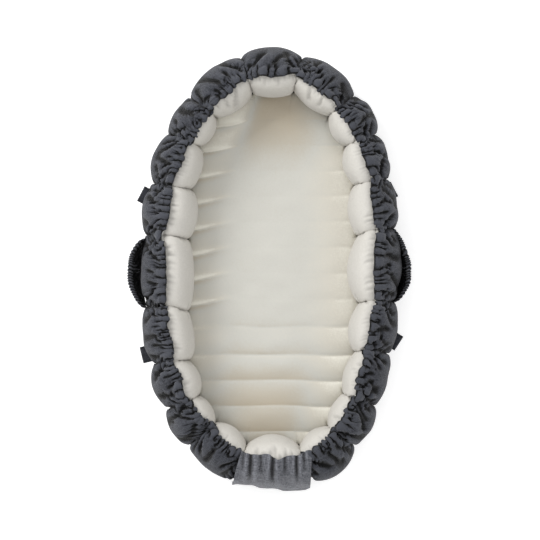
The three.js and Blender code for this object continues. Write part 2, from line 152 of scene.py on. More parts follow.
def oval(share):
    """Centre and outward normal by share of the round: 0 is the head and 1 the foot, by way of +X."""
    wrapped = np.mod(share, 2)
    side = np.where(wrapped > 1, -1, 1)
    walked = np.where(wrapped > 1, 2 - wrapped, wrapped) * HALF_ROUND
    x = np.interp(walked, oval_walk, oval_x)
    y = np.interp(walked, oval_walk, oval_y)
    nx = signed_power(x / OVAL_HALF_WIDTH, OVAL_POWER - 1) / OVAL_HALF_WIDTH
    ny = signed_power(y / OVAL_HALF_LENGTH, OVAL_POWER - 1) / OVAL_HALF_LENGTH
    size = np.hypot(nx, ny)
    return x * side + lean(y), y, nx / size * side, ny / size


def to_world(flat):
    """Points given along the round, outwards and up, as x, y and z."""
    cx, cy, nx, ny = oval(flat[..., 0] / HALF_ROUND)
    return stack(cx + flat[..., 1] * nx, cy + flat[..., 1] * ny, flat[..., 2])


def section(angle, outer, inner, top, offset=0):
    """Point of the bolster's section: outwards and up. Angle 0 points outwards and a quarter turn up."""
    half = np.where(np.cos(angle) > 0, outer, inner)
    rise = np.where(np.sin(angle) > 0, top - WIDEST_HEIGHT, (WIDEST_HEIGHT - FLOOR) / math.sin(REST_ANGLE))
    nr, nz = np.cos(angle) * rise, np.sin(angle) * half
    size = np.hypot(nr, nz)
    r = half * np.cos(angle) + offset * nr / size
    z = WIDEST_HEIGHT + rise * np.sin(angle) + offset * nz / size
    return r, np.maximum(z, FLOOR)


def swell(place):
    return np.sqrt(np.maximum(0, 1 - np.abs(place) ** CROWN_POWER))


def round_swell(place, power=OUTER_POWER):
    """A rounder arc than swell, from 0 at the seams to 1 between them."""
    return np.maximum(0, 1 - np.abs(place) ** 2) ** power


SEAMS = np.array(SEAM_SHARES_RIGHT + [2 - share for share in reversed(SEAM_SHARES_LEFT)])
PUFFS_PER_SIDE = len(SEAM_SHARES_RIGHT) - 1
PUFF_NAMES = (
    ["puff_head"]
    + [f"puff_right_{i + 1}" for i in range(PUFFS_PER_SIDE)]
    + ["puff_foot"]
    + [f"puff_left_{i}" for i in range(PUFFS_PER_SIDE, 0, -1)]
)


def puff_place(share):
    """Which puff a share of the round is in, and its place there from -1 to 1 between the seams."""
    wrapped = np.mod(share, 2)
    seams = np.concatenate([[SEAMS[-1] - 2], SEAMS, [SEAMS[0] + 2]])
    puff = np.clip(np.searchsorted(seams, wrapped, side="right") - 1, 0, len(SEAMS))
    low, high = seams[puff], seams[puff + 1]
    return puff % len(SEAMS), (2 * wrapped - low - high) / (high - low)


def between_seams(share, values):
    """A value given at the seams, going straight from seam to seam."""
    return np.interp(np.mod(share, 2), SEAMS, values, period=2)


def inner_power(puff):
    """The puffs on the right are rounder on their inner side than those on the left."""
    return np.where((puff > 0) & (puff <= PUFFS_PER_SIDE), INNER_POWER_RIGHT, INNER_POWER_LEFT)


def lean_seams(flat):
    """Moves points on the inner side along the round, as the seams lean."""
    moved = between_seams(flat[..., 0] / HALF_ROUND, SEAM_LEAN) * smooth(-flat[..., 1], 4 * MM, 38 * MM)
    return np.concatenate([flat[..., :1] + moved[..., None], flat[..., 1:]], axis=-1)


def bolster(share):
    """Outer half, inner half and top of the stuffed bolster at shares of the round."""
    puff, place = puff_place(share)
    swelled = swell(place)
    notch = between_seams(share, NOTCH_DEPTHS) * (1 - mix(swelled, round_swell(place), OUTER_ROUNDNESS))
    outer = BOLSTER_THICKNESS / 2 - notch
    outer += PUFF_SHIFT[puff] * np.maximum(0, 1 - place**2)
    corner = between_seams(share, CORNER_REACH)
    inner = corner + (CREST_REACH[puff] - corner) * round_swell(place, inner_power(puff))
    return outer, inner, mix(SEAM_TOP, BOLSTER_TOP, swelled)


def waves(s, d, pitch_s, pitch_d, seed, count=28):
    """Smooth noise of about unit height, which repeats after one round in s. The pitches are wavelengths."""
    rng = np.random.default_rng([SEED, seed])
    total = np.zeros(np.broadcast(s, d).shape)
    for _ in range(count):
        turns = round(ROUND / pitch_s * rng.uniform(0.4, 1.6) * rng.choice([-1, 1]))
        across = rng.uniform(0.2, 1.6) / pitch_d
        total += np.sin(TAU * (turns * s / ROUND + across * d + rng.random()))
    return total * math.sqrt(2 / count)


def ripple(s, pitch, seed):
    """Smooth noise along the round alone."""
    return waves(s, 0, pitch, 1, seed)


def note_cut(points):
    """Works out the flat steps of a sheet's grid on one skin, along and across; it keeps nothing."""
    along = np.linalg.norm(np.diff(points, axis=0), axis=-1)
    across = np.linalg.norm(np.diff(points, axis=1), axis=-1)


def joint_record(name):
    return next(j for j in frame["record"]["behaviour"]["joints"] if j["name"] == name)


# Meshes
def add_object(name, data):
    made = bpy.data.objects.new(name, data)
    bpy.context.scene.collection.objects.link(made)
    return made


def end_steps(count):
    """From -1 to 1, in steps that get finer towards both ends."""
    return np.sin(np.linspace(-math.pi / 2, math.pi / 2, count))


def both_skins(front, rear):
    """Two grids as one: out over the first and back over the second."""
    return np.concatenate([front, rear[:, ::-1]], axis=1)


def close_rings(made, rings, triangulate=True):
    """Closes the open ends of a mesh, given as rings of vertex numbers."""
    bm = bmesh.new()
    bm.from_mesh(made.data)
    bm.verts.ensure_lookup_table()
    for ring in rings:
        bm.faces.new([bm.verts[i] for i in ring])
    if triangulate:
        bmesh.ops.triangulate(bm, faces=[f for f in bm.faces if len(f.verts) > 4])
    bmesh.ops.recalc_face_normals(bm, faces=bm.faces)
    bm.to_mesh(made.data)
    bm.free()


def grid_object(name, points, uv, closed_u=False, closed_v=False, fold=None):
    """A mesh of quads over a grid of points, with a cloth map in metres and a painted shading for its
    material, mostly from the height of its folds.

    A grid that is closed along v alone is a tube, and gets two end faces.
    """
    nu, nv = points.shape[:2]
    index = np.arange(nu * nv).reshape(nu, nv)
    iu = np.arange(nu if closed_u else nu - 1)
    iv = np.arange(nv if closed_v else nv - 1)
    a, b = np.meshgrid(iu, iv, indexing="ij")
    c, d = (a + 1) % nu, (b + 1) % nv
    quads = stack(index[a, b], index[c, b], index[c, d], index[a, d]).reshape(-1, 4)
    mesh = bpy.data.meshes.new(name)
    mesh.from_pydata(points.reshape(-1, 3).tolist(), [], quads.tolist())
    # the map of a closed grid runs on past its last column, so it is given to each corner of each face
    u, v = uv
    u = np.append(u, 2 * u[-1:] - u[-2:-1], axis=0)
    u = np.append(u, u[:, :1], axis=1)
    v = np.append(v, v[:1], axis=0)
    v = np.append(v, 2 * v[:, -1:] - v[:, -2:-1], axis=1)
    wide = stack(u, v)
    corners = np.stack([wide[a, b], wide[a + 1, b], wide[a + 1, b + 1], wide[a, b + 1]], axis=-2)
    mesh.uv_layers.new(name="cloth").data.foreach_set("uv", corners.reshape(-1))
    attribute = mesh.attributes.new("fold", "FLOAT", "POINT")
    heights = np.zeros(nu * nv) if fold is None else fold.reshape(-1)
    attribute.data.foreach_set("value", heights.astype(np.float32))
    mesh.shade_smooth()
    made = add_object(name, mesh)
    if closed_v and not closed_u:
        close_rings(made, [range(nv), range((nu - 1) * nv, nu * nv)])
    return made


def two_skins_object(name, front, rear, u, v, fold):
    """A closed sheet or pad between two grids. The painted shading is given on the front alone."""
    uv = both_skins(u, u), both_skins(v, v)
    return grid_object(name, both_skins(front, rear), uv, closed_v=True, fold=both_skins(fold, 0 * fold))


# Cloth simulation on grids, by position-based dynamics
# Each kind of edge: steps along u and v, stiffness, and its least share of length if it only resists folding
EDGE_KINDS = [
    (1, 0, 1, None), (0, 1, 1, None), (1, 1, 0.3, None), (1, -1, 0.3, None),
    (2, 0, 0.5, 0.62), (0, 2, 0.5, 0.7), (4, 0, 0.3, 0.36),
]


def edge_batches(cut_u, cut_v, ring):
    """Pairs of points in batches that share no point, with the length of cloth cut between them."""
    nu, nv = cut_u.shape
    index = np.arange(nu * nv).reshape(nu, nv)
    batches = []
    for du, dv, stiffness, least in EDGE_KINDS:
        first = index if ring else index[: nu - du]
        first = first[:, max(0, -dv) : nv - max(0, dv)].reshape(-1)
        iu, iv = np.divmod(first, nv)
        second = index[(iu + du) % nu, iv + dv]
        wrap = np.where(iu + du >= nu, ROUND, 0.0)
        rest = np.hypot(du * cut_u[iu, iv], dv * cut_v[iu, np.minimum(iv, iv + dv)])
        colour = (iu // du) % 2 if du else (iv // dv) % 2
        for c in (0, 1):
            chosen = colour == c
            batches.append((first[chosen], second[chosen], wrap[chosen], rest[chosen], stiffness, least))
    return batches


def normals(points, ring):
    if ring:
        along = np.roll(points, -1, axis=0) - np.roll(points, 1, axis=0)
        along[[0, -1], :, 0] += ROUND
    else:
        along = np.gradient(points, axis=0)
    found = np.cross(along, np.gradient(points, axis=1))
    return found / np.maximum(1e-12, np.linalg.norm(found, axis=-1))[..., None]


def step_lengths(points, axis):
    """Distance from each point of a grid to the next. The last step is as long as the one before."""
    last, before = np.take(points, [-1], axis), np.take(points, [-2], axis)
    return np.linalg.norm(np.diff(points, axis=axis, append=2 * last - before), axis=-1)


def settle(points, cut_u, cut_v, held, ring, steps, push, keep):
    """The grid of cloth after the given steps. push is the pressure's move each step along the normals."""
    shape = points.shape
    now = points.reshape(-1, 3).copy()
    before = now.copy()
    free = 1.0 - held.reshape(-1)
    batches = []
    for a, b, wrap, rest, stiffness, least in edge_batches(cut_u, cut_v, ring):
        gap = now[b] - now[a]
        gap[:, 0] += wrap
        total = np.maximum(1e-9, free[a] + free[b])
        first = np.linalg.norm(gap, axis=1)
        batches.append((a, b, wrap, first, rest, free[a] / total, free[b] / total, stiffness, least))
    for step in range(steps):
        ease = min(1.0, (step + 1) / (EASE_SHARE * steps))
        moved = SPEED_KEPT * (now - before)
        before = now.copy()
        lifted = normals(now.reshape(shape), ring) * push[..., None]
        now = now + free[:, None] * (moved + lifted.reshape(-1, 3))
        for _ in range(SOLVER_ROUNDS):
            for a, b, wrap, first, rest, share_a, share_b, stiffness, least in batches:
                gap = now[b] - now[a]
                gap[:, 0] += wrap
                length = np.sqrt(np.einsum("ij,ij->i", gap, gap))
                if least is None:
                    off = length - mix(first, rest, ease)
                else:
                    off = np.minimum(0, length - least * mix(first, rest, ease))
                gap *= (stiffness * off / np.maximum(1e-9, length))[:, None]
                now[a] += share_a[:, None] * gap
                now[b] -= share_b[:, None] * gap
        now = mix(now, keep(now.reshape(shape)).reshape(-1, 3), free[:, None])
    return now.reshape(shape)


def keep_off_bolster(points, clearance):
    """Moves points that are inside the bolster out to its skin."""
    outer, inner, top = bolster(points[..., 0] / HALF_ROUND)
    r, z = points[..., 1], points[..., 2] - WIDEST_HEIGHT
    half = np.where(r > 0, outer, inner) + clearance
    rise = np.where(z > 0, top - WIDEST_HEIGHT, (WIDEST_HEIGHT - FLOOR) / math.sin(REST_ANGLE)) + clearance
    size = np.hypot(r / half, z / rise)
    out = 1 / np.clip(size, 0.5, 1)
    return stack(points[..., 0], r * out, WIDEST_HEIGHT + z * out)


def keep_near(points, home, reach):
    """Moves points back that went further than reach from home."""
    away = points - home
    far = np.linalg.norm(away, axis=-1)
    return home + away * np.minimum(1, reach / np.maximum(1e-9, far))[..., None]


def blur(field, along, across, ring):
    """Box blur of a grid, twice, by counts of cells either way."""
    for _ in range(2):
        for axis, count in ((0, along), (1, across)):
            mode = "wrap" if ring and axis == 0 else "edge"
            pad = [(0, 0), (0, 0)]
            pad[axis] = (count, count)
            wide = np.cumsum(np.pad(field, pad, mode=mode), axis=axis)
            wide = np.insert(wide, 0, 0, axis=axis)
            size = 2 * count + 1
            high = np.take(wide, range(size, wide.shape[axis]), axis=axis)
            low = np.take(wide, range(0, wide.shape[axis] - size), axis=axis)
            field = (high - low) / size
    return field


def fold_height(points, home, ring, along, across):
    """How far each point stands above its neighbourhood, in metres."""
    height = np.sum((points - home) * normals(home, ring), axis=-1)
    return height - blur(height, along, across, ring)


# Cover: the gathered cloth round the bolster's outer half
HEM_CURVE = 2.5 * MM
HEM_WAVE = 1.2 * MM
# Least and most of each crease's start below the hem, reach, width and depth, in mm
SEAM_CREASES = (16, 26, 2.8, 3.2), (44, 62, 4.4, 6.0)
LONG_CREASES = (13, 36, 3.0, 3.8), (36, 92, 5.2, 7.4)
HEM_PUCKERS = (7, 11, 1.6, 1.8), (26, 24, 2.6, 3.4)
LONG_CREASE_PITCH = 33 * MM
HEM_PUCKER_PITCH = 8.5 * MM
CREASE_DEEPEST = 8 * MM
CREASE_HIGHEST = 3.5 * MM
# How much more cloth is cut than the skin takes up
CASING_PLENTY = 1.0
FAN_PLENTY = 0.42
EVEN_PLENTY = 0.02
PUCKER_PLENTY = 0.12
CROSS_PLENTY = 0.09
# How far down the fans of folds reach, and how much that varies
FAN_REACH = 52 * MM
FAN_REACH_SPREAD = 26 * MM
# How far the cloth may move from where it starts
MOVE_AT_HEM = 12 * MM
MOVE_LOW_DOWN = 4 * MM
MOVE_IN_CREASE = 1.4 * MM
MOVE_UNDER_FLAP = 0.5 * MM
COVER_PRESSURE = 0.06 * MM
CASING_PRESSURE = 0.07 * MM
COVER_CLEARANCE = 0.9 * MM
CASING_CLEARANCE = 2.2 * MM
STITCH_WIDTH = 1.5 * MM
START_NOISE = 0.3 * MM
START_FOLDS = 2.2 * MM
FLAP_HEM_SHIFT = 9 * MM
FLAP_DIP = 9 * MM
FLAP_DIP_DEPTH = 10 * MM
FLAP_DIP_REACH = 13 * MM


def under_flap(s):
    """1 where the flap lies on the cover, and 0 elsewhere."""
    return fall(np.abs(np.mod(s, ROUND) - HALF_ROUND), 50 * MM, 66 * MM)


def hem_line(share):
    """How far outwards of the crest line the hem's inner edge lies."""
    _, place = puff_place(share)
    s = np.mod(share, 2) * HALF_ROUND
    hem = between_seams(share, HEM_AT_SEAMS) - HEM_CURVE * swell(place) + HEM_WAVE * ripple(s, 80 * MM, 21)
    dip = np.exp(-(((s - HALF_ROUND + FLAP_DIP) / FLAP_DIP_REACH) ** 2))
    return hem + FLAP_HEM_SHIFT * under_flap(s) + FLAP_DIP_DEPTH * dip


# Angles of the full section and the length walked along it, from its lowest point
SECTION_ANGLES = np.linspace(-math.pi / 2, math.pi, 721)
walk_speed = np.hypot(
    BOLSTER_THICKNESS / 2 * np.sin(SECTION_ANGLES), (BOLSTER_TOP - WIDEST_HEIGHT) * np.cos(SECTION_ANGLES)
)
walk_steps = (walk_speed[1:] + walk_speed[:-1]) / 2 * np.diff(SECTION_ANGLES)
SECTION_WALK = np.concatenate([[0], np.cumsum(walk_steps)])


def arc_length(angle):
    """Length along the full section up to an angle."""
    return np.interp(angle, SECTION_ANGLES, SECTION_WALK)


def angle_below(edge, d):
    """Angle of the section at a distance down the cloth from the hem's inner edge."""
    return np.interp(arc_length(edge) - d, SECTION_WALK, SECTION_ANGLES)


def hem_angle(share):
    hem = hem_line(share)
    outer, inner, _ = bolster(share)
    return np.arccos(np.clip(hem / np.where(hem > 0, outer, inner), -0.8, 0.8))


def gather_columns():
    """Columns where the hem's stitches hold the cloth down on the elastic, unevenly spaced."""
    rng = np.random.default_rng([SEED, 6])
    columns, at = [], 0.0
    while at < ROUND - 6 * MM:
        columns.append(round(at / ROUND * COVER_COLUMNS))
        pitch = GATHER_PITCH_RIGHT if at < HALF_ROUND else GATHER_PITCH_LEFT
        at += pitch * rng.uniform(0.5, 1.5)
    return np.array(columns)


def skin_height(share, r):
    """Height of the bolster's skin at a distance outwards of the crest line."""
    outer, inner, top = bolster(share)
    half = np.where(r > 0, outer, inner)
    return WIDEST_HEIGHT + (top - WIDEST_HEIGHT) * np.sqrt(np.clip(1 - (r / half) ** 2, 0, 1))


def crease(x, width):
    """A sharp valley with soft shoulders, 1 deep at x = 0."""
    near = np.sqrt(x * x + (0.12 * width) ** 2) / width
    return np.exp(-near) - 0.42 * np.exp(-((near - 1.9) ** 2))


def crease_list():
    """Long creases of the cover: place along the round, start below the hem, turn, reach, width and depth."""
    rng = np.random.default_rng([SEED, 5])
    creases = []

    def add(start, turn, ranges):
        from_hem, reach, width, depth = rng.uniform(*ranges) * MM
        creases.append((start, from_hem, turn, reach, width, depth))

    for seam, after in zip(SEAMS, np.append(SEAMS[1:], SEAMS[0] + 2)):
        low, high = seam * HALF_ROUND, after * HALF_ROUND
        for side in (-1, -1, 1, 1):
            turn = side * rng.uniform(0.25, 1.1)
            add(low + side * rng.uniform(3, 9) * MM, turn, SEAM_CREASES)
        count = max(2, round((high - low) / LONG_CREASE_PITCH))
        for i in range(count):
            start = mix(low, high, (i + rng.uniform(0.2, 0.8)) / count)
            add(start, rng.uniform(0.1, 0.8) * rng.choice([-1, 1]), LONG_CREASES)
    for start in np.arange(0, ROUND, HEM_PUCKER_PITCH):
        turn = rng.uniform(-1.15, 1.15)
        add(start + 2 * MM * turn, turn, HEM_PUCKERS)
    return creases


def away_from(s, place):
    """Distance along the round from a place, less than 0 before it."""
    return np.mod(s - place + HALF_ROUND, ROUND) - HALF_ROUND


def from_seams(s):
    """Distance along the round from the nearest seam."""
    return np.abs(away_from(s[..., None], SEAMS * HALF_ROUND)).min(axis=-1)


def near_seams(s, reach):
    """1 on the seams, falling to 0 at the given reach."""
    return fall(from_seams(s), 0, reach)


def crease_field(s, d):
    """Height of the long creases, in metres. Valleys are negative."""
    total = np.zeros(s.shape)
    for start, from_hem, turn, reach, width, depth in crease_list():
        off = away_from(s, start)
        down = d - from_hem
        along = off * math.sin(turn) + down * math.cos(turn)
        bend = 0.18 * along * along / reach * math.copysign(1, turn)
        x = off * math.cos(turn) - down * math.sin(turn) + bend
        t = along / reach
        hold = smooth(t, -0.1, 0.12) * fall(t, 0.5, 1)
        total -= depth * hold * crease(x, width * (0.75 + 0.7 * np.clip(t, 0, 1)))
    total = np.clip(total, -CREASE_DEEPEST, CREASE_HIGHEST)
    return total * fall(d, 102 * MM, 135 * MM) * (1 - under_flap(s))


def cover_cut(columns, s, d, home, gathered):
    """Cut lengths along the round and down the wall: plenty at the hem, and unevenly less further down."""
    r, z = home[..., 1], home[..., 2]
    next_r, next_z = np.roll(r, -1, axis=0), np.roll(z, -1, axis=0)
    step_u = np.sqrt((ROUND / COVER_COLUMNS) ** 2 + (next_r - r) ** 2 + (next_z - z) ** 2)
    uneven = np.maximum(0.3, 1 + 0.5 * ripple(columns, 110 * MM, 33))[:, None]
    reach = (FAN_REACH + FAN_REACH_SPREAD * ripple(columns, 75 * MM, 34))[:, None]
    casing_plenty = CASING_PLENTY * fall(d, CASING_WIDTH, 1.6 * CASING_WIDTH)
    fan_plenty = FAN_PLENTY * uneven * fall(d, 0.8 * CASING_WIDTH, np.maximum(20 * MM, reach))
    puckers = near_seams(s, 16 * MM) * smooth(d, 6 * MM, 20 * MM) * fall(d, 80 * MM, 110 * MM)
    cross = np.maximum(0, waves(s, d, 60 * MM, 50 * MM, 37)) * fall(d, 50 * MM, 90 * MM)
    return (
        step_u * (1 + (EVEN_PLENTY + np.maximum(casing_plenty, fan_plenty)) * gathered),
        step_lengths(home[..., 1:], 1) * (1.01 + (PUCKER_PLENTY * puckers + CROSS_PLENTY * cross) * gathered),
    )


def cover_held(s, d):
    """Where the cloth is sewn down: at the base, here and there on the elastic, and along the seams."""
    held = np.zeros(d.shape, bool)
    held[:, -1] = True
    stitch_row = int(np.argmin(np.abs(d[0] - CASING_WIDTH)))
    held[np.ix_(gather_columns(), [0, stitch_row])] = True
    on_seam = from_seams(s) < 0.5 * ROUND / COVER_COLUMNS
    return held | (on_seam & (d > 16 * MM) & (d < 84 * MM))


def cover_start(columns, s, d, home, held, gathered):
    """The cloth before it settles: with a little noise, and with folds that lean this way and that."""
    rng = np.random.default_rng([SEED, 7])
    loose = smooth(d, -1 * MM, 3 * MM) * (1 - held)
    points = home + rng.normal(0, START_NOISE, home.shape) * loose[..., None]
    slant = s + 0.5 * d * ripple(columns, 200 * MM, 38)[:, None]
    began = START_FOLDS * waves(slant, d, 19 * MM, 140 * MM, 39) * smooth(d, CASING_WIDTH, 2 * CASING_WIDTH)
    began *= fall(d, 45 * MM, 95 * MM) * loose
    return points + (began * gathered)[..., None] * normals(home, True)


def cover_shade(cloth, home, s, d, gathered):
    """The painted shading of the cover: from the height of fine and of wide folds, sharper near the hem, with
    painted shade in the seams and along the stitch row.
    """
    fold = fold_height(cloth, home, True, 4, 2) / (1.3 * MM)
    fold += fold_height(cloth, home, True, 12, 6) / (3 * MM)
    fold *= 1 + 0.6 * fall(d, 9 * MM, 20 * MM)
    fold -= 1.1 * near_seams(s, 7 * MM) * smooth(d, 14 * MM, 30 * MM)
    stitch_row_shade = np.exp(-(((d - CASING_WIDTH) / STITCH_WIDTH) ** 2))
    stitch_row_shade *= np.clip(0.55 + 0.8 * ripple(s, 15 * MM, 40), 0, 1)
    return fold - 0.9 * stitch_row_shade * gathered


def casing_underside(cloth, back):
    """Under the casing the cloth turns back outwards. back is 1 at its outer end and 0 on the hem."""
    r = cloth[:, :1, 1] + back * 0.9 * CASING_WIDTH
    s = np.broadcast_to(cloth[:, :1, 0], r.shape)
    z = skin_height(s / HALF_ROUND, r) + 0.6 * MM
    return stack(s, r, mix(cloth[:, :1, 2], z, smooth(back, 0, 0.3)))


def make_cover():
    columns = np.arange(COVER_COLUMNS) * ROUND / COVER_COLUMNS
    # the cloth isn't sewn on squarely: towards the hem it is dragged along, this way and that
    drag = 9 * MM * ripple(columns, 190 * MM, 32) + 3.5 * MM * ripple(columns, 70 * MM, 36)
    edge = hem_angle((columns + drag) / HALF_ROUND)
    down = np.linspace(0, 1, WALL_ROWS) ** 1.3
    angle = mix(edge[:, None], -REST_ANGLE, down[None, :])
    d = arc_length(edge)[:, None] - arc_length(angle)
    s = columns[:, None] + drag[:, None] * fall(d, 0, 85 * MM)
    outer, inner, top = bolster(s / HALF_ROUND)
    plain_part = under_flap(s)
    gathered = 1 - plain_part
    tube = np.sqrt(np.clip(1 - ((d - 0.5 * CASING_WIDTH) / (0.5 * CASING_WIDTH)) ** 2, 0, 1))
    tube *= 1 - 0.6 * plain_part
    lift = COVER_LIFT + CASING_LIFT * tube
    creases = crease_field(s, d)
    smooth_home = stack(s, *section(angle, outer, inner, top, lift))
    home = stack(s, *section(angle, outer, inner, top, lift + creases))
    cut_u, cut_v = cover_cut(columns, s, d, home, gathered)
    held = cover_held(s, d)
    points = cover_start(columns, s, d, home, held, gathered)
    push = COVER_PRESSURE * (1 - 0.7 * smooth(d, 30 * MM, 80 * MM)) + CASING_PRESSURE * tube
    push *= fall(-creases, 0.5 * MM, 2 * MM) * gathered
    clearance = COVER_CLEARANCE + CASING_CLEARANCE * np.sqrt(tube) + np.minimum(0, creases)
    limit = mix(MOVE_AT_HEM, MOVE_LOW_DOWN, smooth(d, 75 * MM, 120 * MM))
    limit = mix(limit, MOVE_IN_CREASE, smooth(-creases, 0.8 * MM, 3 * MM))
    limit = mix(limit, MOVE_UNDER_FLAP, plain_part)

    def keep(cloth):
        return keep_off_bolster(keep_near(cloth, home, limit), clearance)

    cloth = settle(points, cut_u, cut_v, held, True, COVER_STEPS, push, keep)
    back = np.linspace(1, 0, CASING_ROWS, endpoint=False)[None, :]
    under = casing_underside(cloth, back)
    points = to_world(np.concatenate([under, cloth], axis=1))
    u = np.broadcast_to(np.cumsum(cut_u.mean(axis=1))[:, None], points.shape[:2])
    v = np.concatenate([-back * CASING_WIDTH * np.ones(under.shape[:2]), d], axis=1)
    # painted shading of the cover, and painted shade on the casing's turned-back underside
    shade = cover_shade(cloth, smooth_home, s, d, gathered)
    fold = np.concatenate([np.full(under.shape[:2], -1.0), shade], axis=1)
    return grid_object("outer_cover", points, (u, v), closed_u=True, fold=fold)


# Elastic in the casing
ELASTIC_COLUMNS = 900
ELASTIC_SECTION = np.array([(-3, 0), (-2.6, 0.45), (2.6, 0.45), (3, 0), (2.6, -0.45), (-2.6, -0.45)]) * MM
ELASTIC_RIB_PITCH = 4.2 * MM


def make_elastic():
    s = np.arange(ELASTIC_COLUMNS) * ROUND / ELASTIC_COLUMNS
    share = s / HALF_ROUND
    rib = 0.15 * MM * np.sign(np.sin(TAU * s / ELASTIC_RIB_PITCH))
    d = 0.5 * CASING_WIDTH + ELASTIC_SECTION[:, 0]
    angle = angle_below(hem_angle(share)[:, None], d)
    outer, inner, top = (value[:, None] for value in bolster(share))
    lift = 1 * MM + ELASTIC_SECTION[:, 1] + rib[:, None] * np.sign(ELASTIC_SECTION[:, 1])
    r, z = section(angle, outer, inner, top, lift)
    s = np.broadcast_to(s[:, None], r.shape)
    points = to_world(stack(s, r, z))
    return grid_object("hem_elastic_band", points, (s, d + 0 * s), closed_u=True, closed_v=True)


# Bolster: one stuffed puff between two seams
PUFF_STATIONS = 41
PUFF_RING = 64
PUFF_INSET = 0.25 * MM
PUFF_PRESSURE = 0.05 * MM
PUFF_MOVE = 3.5 * MM
PUFF_MOVE_IN_WRINKLE = 0.7 * MM
HIDDEN_DROP = 7 * MM
# Long wrinkles: puff, place between its seams, start below the hem, turn, and reach, width and depth in mm
PUFF_WRINKLES = [
    (1, -0.35, 4, 0.5, 30, 3.0, 2.6), (1, 0.3, 3, 0.25, 24, 2.6, 2.2),
    (19, 0.35, 3, -0.7, 34, 3.2, 3.0), (19, -0.2, 4, -0.4, 26, 2.6, 2.4),
    (0, -0.3, 2, 0.1, 20, 2.4, 2.2), (0, 0.25, 2, -0.15, 17, 2.2, 1.8),
    (10, -0.02, 1, -0.15, 24, 2.4, 3.2), (10, -0.12, 1, 0.25, 26, 2.6, 3.0),
    (10, -0.24, 2, 0.55, 22, 2.4, 2.6),
    (10, 0.1, 1, -0.5, 24, 2.6, 3.0), (10, 0.25, 2, -0.8, 20, 2.4, 2.2), (10, 0.55, 3, -0.2, 20, 2.6, 2.0),
    (5, 0.1, 2, 0.1, 18, 2.2, 1.8), (5, 0.3, 2, -0.1, 16, 2.0, 1.8), (5, 0.45, 2, -0.3, 18, 2.2, 1.8),
    (15, 0.1, 2, 0.1, 16, 2.2, 1.6), (13, -0.2, 2, 0.3, 20, 2.4, 1.8), (8, 0.2, 2, 0.3, 20, 2.4, 1.8),
]


def make_puff(name, k):
    seams = np.concatenate([[SEAMS[-1] - 2], SEAMS])
    low, high = seams[k], seams[k + 1]
    place = end_steps(PUFF_STATIONS)
    inset = PUFF_INSET / HALF_ROUND
    share = mix(low + inset, high - inset, (place + 1) / 2)
    turn = np.linspace(-REST_ANGLE, math.pi + REST_ANGLE, PUFF_RING)
    swelled = swell(place)[:, None]
    corner = mix(CORNER_REACH[k - 1], CORNER_REACH[k], (place + 1) / 2)[:, None]
    inner = corner + (CREST_REACH[k] - corner) * round_swell(place, inner_power(k))[:, None]
    outer = bolster(share)[0][:, None] - 1.5 * MM - 4 * MM * (1 - swelled)
    top = mix(SEAM_TOP, BOLSTER_TOP, swelled) - 0.5 * MM
    s = np.broadcast_to((share * HALF_ROUND)[:, None], (PUFF_STATIONS, PUFF_RING))
    hem = hem_line(share)[:, None]
    r, _ = section(turn, outer, inner, top)
    under = smooth(r - hem, 4 * MM, 16 * MM)
    wrinkle = np.zeros(r.shape)
    for puff, at, start, slant, reach, width, depth in PUFF_WRINKLES:
        if puff == k:
            middle = mix(low, high, (at + 1) / 2) * HALF_ROUND
            down = hem - r - start * MM
            off = s - middle - math.tan(slant) * down
            hold = smooth(down, -6 * MM, 0) * fall(down, 0.3 * reach * MM, reach * MM)
            wrinkle -= depth * MM * hold * crease(off, width * MM)
    r, z = section(turn, outer, inner, top, wrinkle - 1.5 * MM * swelled - HIDDEN_DROP * under)
    home = stack(s, r, z)
    rng = np.random.default_rng([SEED, 100 + k])
    points = home + rng.normal(0, START_NOISE, home.shape)
    # the cover's elastic lies on the puff here, and everything outwards of it is hidden
    under_cover = r > hem + 1 * MM
    held = under_cover.copy()
    held[[0, -1]] = True
    held[:, [0, -1]] = True
    points = np.where(held[..., None], home, points)
    near_hem = fall(np.maximum(0, hem - r), 2 * MM, 26 * MM)
    uneven = np.maximum(0, 0.6 + 0.7 * ripple(s, 45 * MM, 220 + k))
    cut_u = step_lengths(home, 0) * (1.015 + 0.15 * near_hem * uneven)
    cut_v = step_lengths(home, 1) * (1.03 + 0.05 * smooth(np.abs(place), 0.5, 1)[:, None])
    wrinkled = smooth(-wrinkle, 0.3 * MM, 1.2 * MM)
    push = PUFF_PRESSURE * (1 - wrinkled)
    limit = mix(PUFF_MOVE, PUFF_MOVE_IN_WRINKLE, wrinkled)

    def keep(cloth):
        return keep_near(cloth, home, limit)

    cloth = settle(points, cut_u, cut_v, held, False, PUFF_STEPS, -push, keep)
    # painted shade in the puff's wrinkles, from how deep each point lies below its neighbourhood
    fold = -fold_height(cloth, home, False, 3, 3) / (1.5 * MM)
    v = np.broadcast_to(turn[None, :] * 50 * MM, r.shape)
    return grid_object(f"stuffed_{name}", to_world(lean_seams(cloth)), (s, v), closed_v=True, fold=fold)


# Mattress
CHANNEL_PITCH = 49.5 * MM
CHANNEL_START = -164 * MM
MATTRESS_COLUMNS = 96
MATTRESS_ROWS = 330
MATTRESS_CROWN = 5 * MM
MATTRESS_SIDE = 12 * MM
RIM_SAMPLES = 2880


